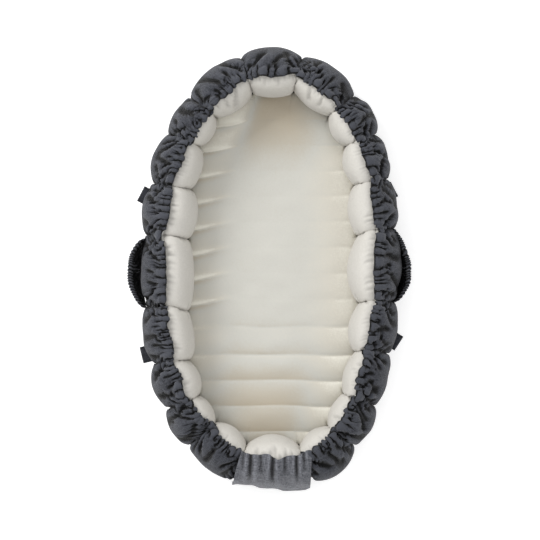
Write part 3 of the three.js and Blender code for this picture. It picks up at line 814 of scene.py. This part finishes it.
def mattress_rim(turn, width):
    """How far the pad reaches in a direction from the middle, between the puffs, smoothed over a turn."""
    share = np.linspace(0, 2, RIM_SAMPLES, endpoint=False)
    inner = bolster(share)[1]
    reach_in = mix(0.7 * inner, inner + 2.5 * MM, near_seams(share * HALF_ROUND, 7 * MM))
    rim = to_world(lean_seams(stack(share * HALF_ROUND, -reach_in, 0 * share)))
    x, y = rim[:, 0] - lean(rim[:, 1]), rim[:, 1]
    rim_turn = np.arctan2(y, x)
    order = np.argsort(rim_turn)
    even = np.linspace(-math.pi, math.pi, RIM_SAMPLES, endpoint=False)
    reach = np.interp(even, rim_turn[order], np.hypot(x, y)[order], period=TAU)
    reach = blur(reach[:, None], max(0, round(width / TAU * len(even))), 0, True)[:, 0]
    return np.interp(turn, even, reach, period=TAU)


def make_mattress():
    low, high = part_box("mattress_cover")
    a, b = np.meshgrid(end_steps(MATTRESS_ROWS) * 0.999, end_steps(MATTRESS_COLUMNS), indexing="ij")
    length = np.where(a > 0, high.y, -low.y)
    x = b * high.x * (1 - np.abs(a) ** OVAL_POWER) ** (1 / OVAL_POWER)
    y = a * length
    # the pad's edge is pressed in between the puffs
    turn = np.arctan2(y, x)
    own = np.abs(np.cos(turn) / high.x) ** OVAL_POWER + np.abs(np.sin(turn) / length) ** OVAL_POWER
    own = own ** (-1 / OVAL_POWER)
    ratio = np.hypot(x, y) / own
    wide = mattress_rim(turn, 0.35)
    rim = mix(wide, mattress_rim(turn, 0), smooth(ratio, 0.88, 1))
    stretch = 1 + (rim / own - 1) * smooth(ratio, 0.6, 1)
    x, y = x * stretch, y * stretch
    # quilted channels across: pinched folds at the left, creases at the right, and soft bands at the foot
    head_half = smooth(y, -175 * MM, -55 * MM)
    at_left = smooth(-b, 0.3, 0.92) * mix(0.2, 1, head_half)
    at_right = smooth(b, 0.55, 0.97) * mix(1, 0.45, head_half)
    slant = mix(-10 * MM, 5 * MM, smooth(-b, 0.35, 1))
    wander = 0.9 * MM * waves(x, y, 190 * MM, 400 * MM, 61) + slant * head_half
    phase = np.mod((y - CHANNEL_START + wander) / CHANNEL_PITCH, 1)
    channel = np.abs(np.sin(math.pi * phase))
    crease_line = MM * (0.1 + 2 * at_right + 0.15 * (1 - head_half)) * np.exp(-channel / 0.11)
    lip = MM * at_left * (5 * np.exp(-phase / 0.08) + 5 * np.exp((phase - 1) / 0.22))
    pillow = MM * (0.2 + 0.6 * at_left + 1.6 * at_right + 3.4 * (1 - head_half)) * (channel**0.7 - 1)
    rough = 0.3 * MM * waves(x, y, 110 * MM, 60 * MM, 64)
    edge = (1 - np.abs(b) ** mix(7, 13, smooth(b, -0.2, 0.2))) ** 0.5 * (1 - np.abs(a) ** 14) ** 0.5
    crown = MATTRESS_CROWN * (1 - b * b)
    rise = (high.z - low.z - MATTRESS_CROWN) * (0.27 + 0.73 * edge) + crown * edge
    relief = pillow - crease_line + lip + rough
    z_top = low.z + rise + relief * edge
    bottom = low.z + MATTRESS_SIDE * (1 - edge)
    leant = x + lean(y)
    top = stack(leant, y, z_top)
    under = stack(leant, y, np.minimum(bottom, z_top - 1 * MM))
    # painted light and shade: the cloth is painted darker and warmer at the two ends, where the bolster
    # shades it, and paler along the sides and at the head's left corner; on the creases, slopes that face the
    # head are painted lighter and slopes that face the foot darker
    head_left_painted_light = smooth(a, 0.5, 0.9) * smooth(-b, 0.25, 0.75)
    ends = 1.4 * smooth(a, 0.5, 0.95) * fall(-b, 0.2, 0.7)
    ends += 0.9 * smooth(-a, 0.4, 0.85) * fall(b, 0.1, 1.1)
    side_painted_light = 0.8 * smooth(-b, 0.4, 0.95) + 1.1 * smooth(b, 0.3, 1)
    slope = np.clip(np.gradient(relief - rough, axis=0) / np.gradient(y, axis=0), -0.35, 0.35)
    painted_light_and_shade = 0.2 - mix(1.6, 3.4, at_left) * slope - 4 * at_left * np.maximum(0, slope)
    painted_light_and_shade = painted_light_and_shade + side_painted_light - ends + head_left_painted_light
    return two_skins_object("mattress_pad", top, under, x, y, painted_light_and_shade)


# Base panel of the cover
BASE_RINGS = 18
BASE_COLUMNS = 260
BASE_REACH = 27 * MM
BASE_TOP = 2.8 * MM
BASE_EDGE = 1.2 * MM
BASE_RIPPLES = 6
BASE_RIPPLE_HEIGHT = 0.35 * MM


def make_base():
    low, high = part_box("cover_base")
    cx, cy, nx, ny = oval(np.arange(BASE_COLUMNS) * 2 / BASE_COLUMNS)
    inwards = np.linspace(0, 1, BASE_RINGS)
    edge = stack(cx + BASE_REACH * nx, cy + BASE_REACH * ny)
    middle = np.array([0, 0.5 * (low.y + high.y)])
    flat = mix(edge[:, None, :], middle, 0.97 * inwards[None, :, None])
    z_low = BASE_RIPPLE_HEIGHT * (1 - np.cos(TAU * BASE_RIPPLES * inwards)) / 2 * np.ones((BASE_COLUMNS, 1))
    z_low[:, 0] = BASE_EDGE
    lower = np.concatenate([flat, z_low[..., None]], axis=-1)
    upper = np.concatenate([flat, np.full(z_low.shape, BASE_TOP)[..., None]], axis=-1)
    points = np.concatenate([upper[:, ::-1], lower], axis=1)
    made = grid_object("base_panel", points, (points[..., 0], points[..., 1]), closed_u=True)
    count = 2 * BASE_RINGS
    ends = [range(row, BASE_COLUMNS * count, count) for row in (0, count - 1)]
    close_rings(made, ends, triangulate=False)
    return made


# Handles
HANDLE_COLUMNS = 300
HANDLE_RING = 44
HANDLE_DROP = 56 * MM
HANDLE_TOP_REACH = 32.5 * MM
HANDLE_LOW_REACH = 14 * MM
HANDLE_ARCH = 8 * MM
HANDLE_STAND_OFF = {"right": 0, "left": 2.5 * MM}
# how far the head and the foot end of each handle lie from the CAD model's
HANDLE_SHIFTS = {"right": (10 * MM, 7 * MM), "left": (-9 * MM, -4 * MM)}
HANDLE_SKEW = {"right": 1.3, "left": 0.9}
# thickness of the padded roll at the band's ends and in its middle, and half that of the web below it
ROLL_AT_ENDS = 4.5 * MM
ROLL_IN_MIDDLE = 9.5 * MM
HALF_WEB = 2 * MM
RIB_PITCH = 5.4 * MM
RIB_DEPTH = 3.4 * MM
RIB_RISE = 2 * MM
HANDLE_SWAY = 1.2 * MM
LINING_COLUMNS = 90
LINING_ROWS = 24
SIDES = {"right": 1, "left": -1}


def handle_reach(share, drop, skew):
    """How far the handle's band stands off, at a share of its length from the head and of its height."""
    return np.sin(math.pi * share**skew) ** 0.56 * mix(HANDLE_TOP_REACH, HANDLE_LOW_REACH, drop)


def handle_frame(word):
    """Distance of the sewn ends from the middle, height of the hinge, and y at both ends."""
    hinge = joint_record(f"handle_{word}_swing")["pos_m"]
    low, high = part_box(f"handle_{word}_band")
    head, foot = HANDLE_SHIFTS[word]
    return abs(hinge[0]) + HANDLE_STAND_OFF[word], hinge[2], high.y + head, low.y + foot


def make_handle(word):
    side = SIDES[word]
    root, hinge, y_head, y_foot = handle_frame(word)
    turn = np.linspace(0, TAU, HANDLE_RING, endpoint=False)
    share, turn = np.meshgrid(np.linspace(0, 1, HANDLE_COLUMNS), turn, indexing="ij")
    # the section is a drop: a padded roll on top and a flat web below it
    along = (1 - np.cos(turn)) / 2
    drop = along**1.4
    roll = mix(ROLL_AT_ENDS, ROLL_IN_MIDDLE, np.sin(math.pi * share) ** 0.4) / 2
    half = mix(roll, HALF_WEB, smooth(drop, 0.03, 0.26))
    shape = signed_power(np.sin(turn), 0.5)
    s = share * (y_head - y_foot)
    ribs = s / RIB_PITCH + 0.55 * np.sin(turn) + 0.3 * ripple(s, 40 * MM, 71 + side)
    rib = np.abs(np.sin(math.pi * ribs)) ** 0.7
    raised = np.sign(shape) * RIB_DEPTH * (rib - 0.6) * np.minimum(1, np.abs(shape) * 2)
    off = shape * half + raised * mix(0.35, 1, fall(drop, 0.15, 0.9))
    arch = 1 - np.sin(math.pi * share) ** 0.5
    z = hinge + (roll + RIB_RISE * (rib - 0.4)) * fall(along, 0, 0.14)
    z = z - drop * HANDLE_DROP - HANDLE_ARCH * arch
    sway = HANDLE_SWAY * ripple(s, 60 * MM, 75 + side) * np.sin(math.pi * share)
    x = side * (root + handle_reach(share, drop, HANDLE_SKEW[word]) + off + sway)
    points = stack(x, mix(y_head, y_foot, share), z)
    # painted shade in the valleys between the ribs and painted light on their ridges
    return grid_object(f"handle_{word}", points, (s, turn * 20 * MM), closed_v=True, fold=(rib - 0.84) * 3)


def make_lining(word):
    side = SIDES[word]
    root, hinge, y_head, y_foot = handle_frame(word)
    share, drop = np.meshgrid(
        np.linspace(0.04, 0.96, LINING_COLUMNS), np.linspace(0.08, 0.97, LINING_ROWS), indexing="ij"
    )
    y = mix(y_head, y_foot, share)
    z = hinge - drop * HANDLE_DROP
    thick = mix(4.6 * MM, 2.6 * MM, smooth(drop, 0.05, 0.3))
    inner = root + handle_reach(share, drop, HANDLE_SKEW[word]) - thick - 0.8 * MM
    inner = inner + 0.5 * MM * waves(y, z, 20 * MM, 40 * MM, 81)
    front = stack(side * inner, y, z)
    rear = stack(side * (inner + 0.7 * MM), y, z)
    name = f"handle_{word}_inner_lining"
    note_cut(front)
    return two_skins_object(name, front, rear, y, z, 0 * y)


# Side loops
# how far each tab is set inwards and slid towards the middle, in mm, and its turn in degrees
LOOP_PLACES = {
    "loop_head_right": (15, 6, 0), "loop_head_left": (11, 18, 0),
    "loop_foot_right": (13, 21, 5), "loop_foot_left": (3, -5, -14),
}
LOOP_WIDTH = 32 * MM
LOOP_ROOT = -1.5 * MM
LOOP_LENGTH = 17 * MM
LOOP_SLIT = 0.8 * MM
LOOP_PLY = 1.2 * MM
LOOP_SAG = 0.8 * MM
LOOP_STITCH = 13 * MM
LOOP_STITCH_WIDTH = 0.7 * MM
LOOP_COLUMNS = 34
LOOP_ROWS = 25


def make_loop(end, word):
    name = f"loop_{end}_{word}"
    joint = joint_record(f"{name}_bend")
    pivot, up = np.array(joint["pos_m"]), np.array([0, 0, 1.0])
    outward = np.cross(up, np.array(joint["axis"]))
    outward = outward * (1 if outward[0] * pivot[0] > 0 else -1)
    inset, slide, turn = LOOP_PLACES[name]
    turn = math.radians(turn) * np.sign(pivot[0] * pivot[1])
    across = np.linspace(-0.5, 0.5, LOOP_COLUMNS) * LOOP_WIDTH
    # the strip's path: out along the top, round the fold and back underneath
    t, level = np.linspace(0, 1, LOOP_ROWS), np.full(LOOP_ROWS, 1.0)
    bend = LOOP_LENGTH - 2 * MM
    tip = [LOOP_LENGTH - 0.6 * MM, LOOP_LENGTH, LOOP_LENGTH - 0.6 * MM]
    out = np.concatenate([mix(LOOP_ROOT, bend, t), tip, mix(bend, LOOP_ROOT, t)])
    lift = np.concatenate([level, [0.7, 0, -0.7], -level]) * (LOOP_SLIT / 2 + LOOP_PLY / 2)
    # skin of the strip: outer side then inner side, as one closed ring
    centre = stack(out, lift)
    normal = np.gradient(centre, axis=0)
    normal = stack(-normal[:, 1], normal[:, 0])
    normal /= np.maximum(1e-9, np.linalg.norm(normal, axis=1))[:, None]
    ring = np.concatenate([centre + normal * LOOP_PLY / 2, (centre - normal * LOOP_PLY / 2)[::-1]])
    sag = LOOP_SAG * np.sin(across / LOOP_WIDTH * 7 + pivot[1] * 30)
    along = np.cross(outward, up)
    middle = pivot - outward * inset * MM - along * slide * MM * np.sign(along[1] * pivot[1])
    outward = outward * math.cos(turn) + np.cross(up, outward) * math.sin(turn)
    reach = ring[None, :, 0] / LOOP_LENGTH
    points = (
        middle
        + outward * (ring[None, :, 0, None] + 0 * across[:, None, None])
        + up * (ring[None, :, 1, None] + (sag[:, None] * np.clip(reach, 0, 1))[..., None])
        + np.cross(outward, up) * across[:, None, None]
    )
    u = np.broadcast_to(across[:, None], points.shape[:2])
    v = np.broadcast_to(np.arange(len(ring))[None, :] * 0.6 * MM, points.shape[:2])
    note_cut(points[:, : len(out)])
    # the long edges are turned in and stitched: painted shade runs along the stitched creases, and the strip
    # is darker towards its root
    stitch = np.abs(np.abs(across) - LOOP_STITCH)
    fold = 0.5 - 2 * np.exp(-((stitch / LOOP_STITCH_WIDTH) ** 2))
    fold = np.broadcast_to(fold[:, None], points.shape[:2]) * np.clip(reach, 0.2, 1)
    return grid_object(f"{name}_tab", points, (u, v), closed_v=True, fold=fold)


# Foot flap
FLAP_COLUMNS = 120
FLAP_ROWS = 90
# x of the flap's left and right edge, where it is sewn and where it hangs free
FLAP_LEFT = -53 * MM, -73 * MM
FLAP_RIGHT = 80 * MM, 77 * MM
FLAP_LENGTH = 130 * MM
FLAP_THICKNESS = 1.6 * MM
FLAP_PLEAT_DEEPEST = 5.2 * MM
FLAP_WAVE = 1.3 * MM
# share of the flap's length from its sewn edge at which it has turned to hang straight down
FLAP_HANG = 0.78
FLAP_LIFT = 7 * MM
FLAP_SKIRT = 16 * MM
FLAP_STAND_AT = [-1, -0.93, -0.75, -0.4, 0, 0.3, 0.6, 0.9, 1]
FLAP_STAND = np.array([-5.5, -5, -4, 1, 7.5, 12, 10.5, 9, 6.5]) * MM
# Pleats: place across, slant, depth and width in mm, and how far down they reach as a share of the flap
FLAP_PLEATS = [
    (-36, 0.12, 4.6, 4.2, 0.62), (6, 0.1, 5.6, 4.2, 0.6), (50, -0.05, 4.6, 3.4, 0.55),
    (-17, 0.02, 2.2, 4, 0.4), (28, -0.05, 2.4, 4, 0.42), (64, -0.1, 2.6, 3, 0.3), (-50, 0.15, 1.8, 3, 0.35),
]


def make_flap():
    _, foot_y, _, _ = oval(np.array([1.0]))
    a, t = np.meshgrid(np.linspace(-1, 1, FLAP_COLUMNS), np.linspace(0, 1, FLAP_ROWS), indexing="ij")
    flare = np.sin(math.pi / 2 * np.minimum(1, t / FLAP_HANG))
    x = mix(mix(*FLAP_LEFT, flare), mix(*FLAP_RIGHT, flare), (a + 1) / 2)
    hem = hem_line(1 - (x - FOOT_LEAN) / HALF_ROUND) - 3 * MM
    top_angle = np.arccos(np.clip(hem / (BOLSTER_THICKNESS / 2), -0.8, 0.8))
    angle = mix(top_angle, 0, np.clip(t / FLAP_HANG, 0, 1))
    pleats = np.zeros(a.shape)
    for at, slant, depth, width, reach in FLAP_PLEATS:
        off = x - at * MM + slant * t * 60 * MM
        pleats -= depth * MM * fall(t, 0.3 * reach, reach) * crease(off, width * mix(0.8, 1.6, t) * MM)
    pleats = np.maximum(pleats, -FLAP_PLEAT_DEEPEST)
    loose = FLAP_WAVE * waves(x, t * 0.12, 60 * MM, 60 * MM, 91) * smooth(t, 0.1, 0.5)
    half = BOLSTER_THICKNESS / 2
    r, z = section(angle, half, half, BOLSTER_TOP, FLAP_LIFT + pleats + loose)
    below = np.clip((t - FLAP_HANG) / (1 - FLAP_HANG), 0, 1)
    y = foot_y - r - np.interp(a, FLAP_STAND_AT, FLAP_STAND) * t * t
    front = stack(x, y, z - below * FLAP_SKIRT)
    note_cut(front)
    facing = np.cross(np.gradient(front, axis=0), np.gradient(front, axis=1))
    facing /= np.linalg.norm(facing, axis=-1)[..., None]
    rear = front - facing * FLAP_THICKNESS * np.sign(facing[..., 2:3] - facing[..., 1:2])
    # painted shade in the pleats' valleys, and the flap is darker near its sewn top edge
    fold = pleats / (2.6 * MM) - 0.15 * fall(t, 0.1, 0.4)
    return two_skins_object("foot_flap_cloth", front, rear, x, t * FLAP_LENGTH, fold)


# Materials
# Streaks are given in yarns, and the noise scales per metre
STREAK_WIDTH = 1.3
STREAK_LENGTH = 16
PATCH_SCALE = 22.0
FLECK_SCALE = 240.0
GRAIN_SCALE = 900.0
GRAIN_HEIGHT = 0.6
GRAIN_ROUGHNESS = 0.12
# Painted shading values between which the painted shade goes from its darkest to none
FOLD_RANGE = -1.1, 0.4


def linear(code):
    """Linear colour of a hex colour."""
    parts = [int(code[i : i + 2], 16) / 255 for i in (1, 3, 5)]
    return [p / 12.92 if p <= 0.04045 else ((p + 0.055) / 1.055) ** 2.4 for p in parts] + [1]


class Nodes:
    """Short calls for making and linking shader nodes."""

    def __init__(self, material):
        material.use_nodes = True
        self.tree = material.node_tree
        self.tree.nodes.clear()

    def add(self, kind, inputs=None, **settings):
        node = self.tree.nodes.new(kind)
        for key, value in settings.items():
            setattr(node, key, value)
        for key, value in (inputs or {}).items():
            if isinstance(value, bpy.types.NodeSocket):
                self.tree.links.new(value, node.inputs[key])
            else:
                node.inputs[key].default_value = value
        return node

    def surface(self, inputs):
        shader = self.add("ShaderNodeBsdfPrincipled", inputs)
        self.add("ShaderNodeOutputMaterial", {0: shader.outputs[0]})

    def math(self, operation, a, b=0.0):
        return self.add("ShaderNodeMath", {0: a, 1: b}, operation=operation).outputs[0]

    def times(self, a, b):
        return self.math("MULTIPLY", a, b)

    def varied(self, base, field, amount):
        """base, more or less by the amount where a noise field is above or below its middle."""
        return self.math("ADD", base, self.times(self.math("SUBTRACT", field, 0.5), amount))

    def noise(self, where, scale, detail):
        return self.add("ShaderNodeTexNoise", {0: where, "Scale": scale, "Detail": detail}).outputs[0]

def woven(
    name, dark, light, pitch, melange, bump, roughness,
    sheen=0.0, fold_shade=0.0, darkest_fold_shade=None, patchy=0.35, between=(),
):
    """Woven cloth: a plain weave with uneven yarns, and painted shade in its folds and painted light on their
    ridges, from its painted shading attribute.

    between holds places and colours that the cloth goes through from dark to light.
    """
    material = bpy.data.materials.new(name)
    n = Nodes(material)
    uv = n.add("ShaderNodeUVMap", uv_map="cloth").outputs[0]
    parts = n.add("ShaderNodeSeparateXYZ", {0: uv})
    turns = math.pi / pitch
    warp = n.math("SINE", n.times(parts.outputs[0], turns))
    weft = n.math("SINE", n.times(parts.outputs[1], turns))
    over = n.math("GREATER_THAN", n.times(warp, weft), 0.0)
    heights = {0: over, 2: n.math("ABSOLUTE", warp), 3: n.math("ABSOLUTE", weft)}
    height = n.add("ShaderNodeMix", heights, data_type="FLOAT").outputs[0]
    # uneven yarns: streaks along each thread direction
    thin, long = 1 / (STREAK_WIDTH * pitch), 1 / (STREAK_LENGTH * pitch)
    streak_u = n.add("ShaderNodeMapping", {0: uv, 3: (thin, long, 1)}).outputs[0]
    streak_v = n.add("ShaderNodeMapping", {0: uv, 3: (long, thin, 1)}).outputs[0]
    yarn = n.times(n.math("ADD", n.noise(streak_u, 1.0, 1.0), n.noise(streak_v, 1.0, 1.0)), 0.5)
    where = n.add("ShaderNodeTexCoord").outputs[3]
    spread = n.varied(0.5, yarn, melange)
    spread = n.varied(spread, n.noise(where, PATCH_SCALE, 3.0), patchy)
    spread = n.varied(spread, n.noise(where, FLECK_SCALE, 2.0), 0.5 * melange)
    # painted shading: it moves the colour along the ramp, lighter on ridges and darker in folds
    fold = n.add("ShaderNodeAttribute", attribute_name="fold").outputs[2]
    spread = n.math("ADD", spread, n.times(fold, fold_shade))
    ramp = n.add("ShaderNodeValToRGB", {0: n.add("ShaderNodeClamp", {0: spread}).outputs[0]})
    ramp.color_ramp.elements[0].color = linear(dark)
    ramp.color_ramp.elements[1].color = linear(light)
    for place, shade in between:
        ramp.color_ramp.elements.new(place).color = linear(shade)
    colour = ramp.outputs[0]
    # painted shade: low painted shading values darken the colour, down to darkest_fold_shade
    if darkest_fold_shade:
        low, high = FOLD_RANGE
        shade = n.add("ShaderNodeMapRange", {0: fold, 1: low, 2: high, 3: darkest_fold_shade, 4: 1.0}).outputs[0]
        grey = n.add("ShaderNodeCombineColor", {0: shade, 1: shade, 2: shade}).outputs[0]
        shaded = {0: 1.0, 6: colour, 7: grey}
        colour = n.add("ShaderNodeMix", shaded, data_type="RGBA", blend_type="MULTIPLY").outputs[2]
    grain = n.noise(where, GRAIN_SCALE, 2.0)
    height = n.math("ADD", height, n.times(grain, GRAIN_HEIGHT))
    rough = n.math("ADD", n.times(grain, GRAIN_ROUGHNESS), roughness - GRAIN_ROUGHNESS / 2)
    raised = n.add("ShaderNodeBump", {"Strength": 1.0, "Distance": bump, "Height": height}).outputs[0]
    n.surface({
        "Base Color": colour, "Roughness": rough, "Normal": raised,
        "Sheen Weight": sheen, "Sheen Roughness": 0.5, "Specular IOR Level": 0.25,
    })
    return material


CHAMBRAY = {"pitch": 0.75 * MM, "roughness": 0.9}
COTTON = {"pitch": 0.5 * MM, "bump": 0.05 * MM, "roughness": 0.85, "sheen": 0.1}

charcoal = woven(
    "charcoal_chambray", "#121317", "#44464d", **CHAMBRAY,
    melange=2.6, bump=0.2 * MM, sheen=0.12, fold_shade=0.16, darkest_fold_shade=0.03,
)
flap_grey = woven(
    "flap_chambray", "#3a3b41", "#8a8c93", **CHAMBRAY,
    melange=2.4, bump=0.16 * MM, sheen=0.2, fold_shade=0.12, darkest_fold_shade=0.15,
)
ruched = woven(
    "ruched_chambray", "#0e0f11", "#5e6068", **CHAMBRAY,
    melange=2.0, bump=0.2 * MM, sheen=0.12, fold_shade=0.5, darkest_fold_shade=0.02,
)
webbing = woven(
    "tab_chambray", "#17181c", "#3c3e45", **CHAMBRAY,
    melange=2.4, bump=0.16 * MM, sheen=0.1, fold_shade=0.1, darkest_fold_shade=0.2,
)
# a black lining, made near black so that it also stands for the deep shade in the handle's pocket
black_lining = woven(
    "black_lining", "#020203", "#070709", pitch=0.5 * MM, melange=1.2, bump=0.08 * MM, roughness=1.0
)
elastic_white = woven(
    "elastic_rib", "#d8d6d0", "#eceae5", pitch=0.6 * MM, melange=1.2, bump=0.1 * MM, roughness=0.8
)
cream = woven("cream_cotton", "#c4c1ba", "#d2cfc9", **COTTON, melange=1.6, darkest_fold_shade=0.8)
# the mattress's ramp turns its painted shading into colour: warm beige painted shade at the dark end, painted
# light at the pale end
quilt = woven(
    "mattress_cotton", "#9c917d", "#f4f2e8", **COTTON, melange=0.2, fold_shade=0.25, patchy=0.08,
    between=[(0.2, "#bcb2a0"), (0.38, "#bdb7aa"), (0.55, "#c5c4bd"), (0.75, "#d0ccc1")],
)


# Pieces on their bodies
def dress(piece, material, slot, body, *nodes):
    piece.data.materials.append(material)
    if body:
        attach(piece, body)
    if nodes:
        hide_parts(*nodes)
    return piece


cover = dress(
    make_cover(), charcoal, "cover_cloth", "lounger",
    "cover_wall_right", "cover_wall_left", "hem_casing", "foot_band",
)
dress(make_elastic(), elastic_white, "elastic", "lounger", "hem_elastic")
base = dress(make_base(), charcoal, "cover_cloth", "lounger", "cover_base")
for k, name in enumerate(PUFF_NAMES):
    dress(make_puff(name, k), cream, "cream_cotton", "lounger", name)
mattress = dress(make_mattress(), quilt, "mattress_cotton", "lounger", "mattress_cover", "mattress_foam_core")
for word in SIDES:
    handle = f"handle_{word}"
    band = dress(make_handle(word), ruched, "handle_cloth", handle, f"{handle}_band")
    lining = dress(make_lining(word), black_lining, "dark_lining", handle, f"{handle}_lining")
    for end in ("head", "foot"):
        name = f"loop_{end}_{word}"
        tab = dress(make_loop(end, word), webbing, "loop_webbing", name, f"{name}_strip")
flap = dress(make_flap(), flap_grey, "flap_cloth", None, "foot_flap_panel")
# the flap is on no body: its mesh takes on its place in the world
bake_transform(flap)


# Floor, light and camera
FLOOR_REACH = 12
FLOOR_DROP = 0.2 * MM
FLOOR_GLOW = 0.4
SKY = 0.85
# Lights: name, place, size and watts, all turned to the origin
LIGHTS = [("key", (-2.0, 1.8, 2.2), 1.4, 72), ("fill", (1.6, -1.2, 2.6), 2.0, 10)]
CAMERA_HEIGHT = 6.0
CAMERA_SHIFT = 0.5 * MM
CAMERA_SENSOR = 36
# width in view at a height near the widest line
SEEN_WIDTH = 1.036
SEEN_AT = 0.08


def make_stage():
    mesh = bpy.data.meshes.new("floor")
    corners = [(x * FLOOR_REACH, y * FLOOR_REACH, 0) for x, y in ((-1, -1), (1, -1), (1, 1), (-1, 1))]
    mesh.from_pydata(corners, [], [(0, 1, 2, 3)])
    floor = add_object("floor", mesh)
    floor.location.z = -FLOOR_DROP
    white = bpy.data.materials.new("floor_white")
    Nodes(white).surface({
        "Base Color": (0.93, 0.93, 0.93, 1), "Roughness": 0.9,
        "Emission Color": (1, 1, 1, 1), "Emission Strength": FLOOR_GLOW,
    })
    mesh.materials.append(white)


def make_lights():
    world = bpy.data.worlds.new("studio")
    bpy.context.scene.world = world
    world.use_nodes = True
    background = world.node_tree.nodes["Background"]
    background.inputs["Color"].default_value = (1, 1, 1, 1)
    background.inputs["Strength"].default_value = SKY
    for name, place, size, watts in LIGHTS:
        data = bpy.data.lights.new(name, "AREA")
        data.shape = "SQUARE"
        data.size = size
        data.energy = watts
        light = add_object(name, data)
        light.location = place
        light.rotation_mode = "QUATERNION"
        light.rotation_quaternion = (-Vector(place)).to_track_quat("-Z", "Y")


def make_camera():
    data = bpy.data.cameras.new("camera")
    camera = add_object("camera", data)
    camera.location = (0, CAMERA_SHIFT, CAMERA_HEIGHT)
    data.sensor_width = CAMERA_SENSOR
    data.lens = CAMERA_SENSOR * (CAMERA_HEIGHT - SEEN_AT) / SEEN_WIDTH
    data.clip_end = 50
    bpy.context.scene.camera = camera
    bpy.context.scene.view_settings.view_transform = "Standard"


make_stage()
make_lights()
make_camera()
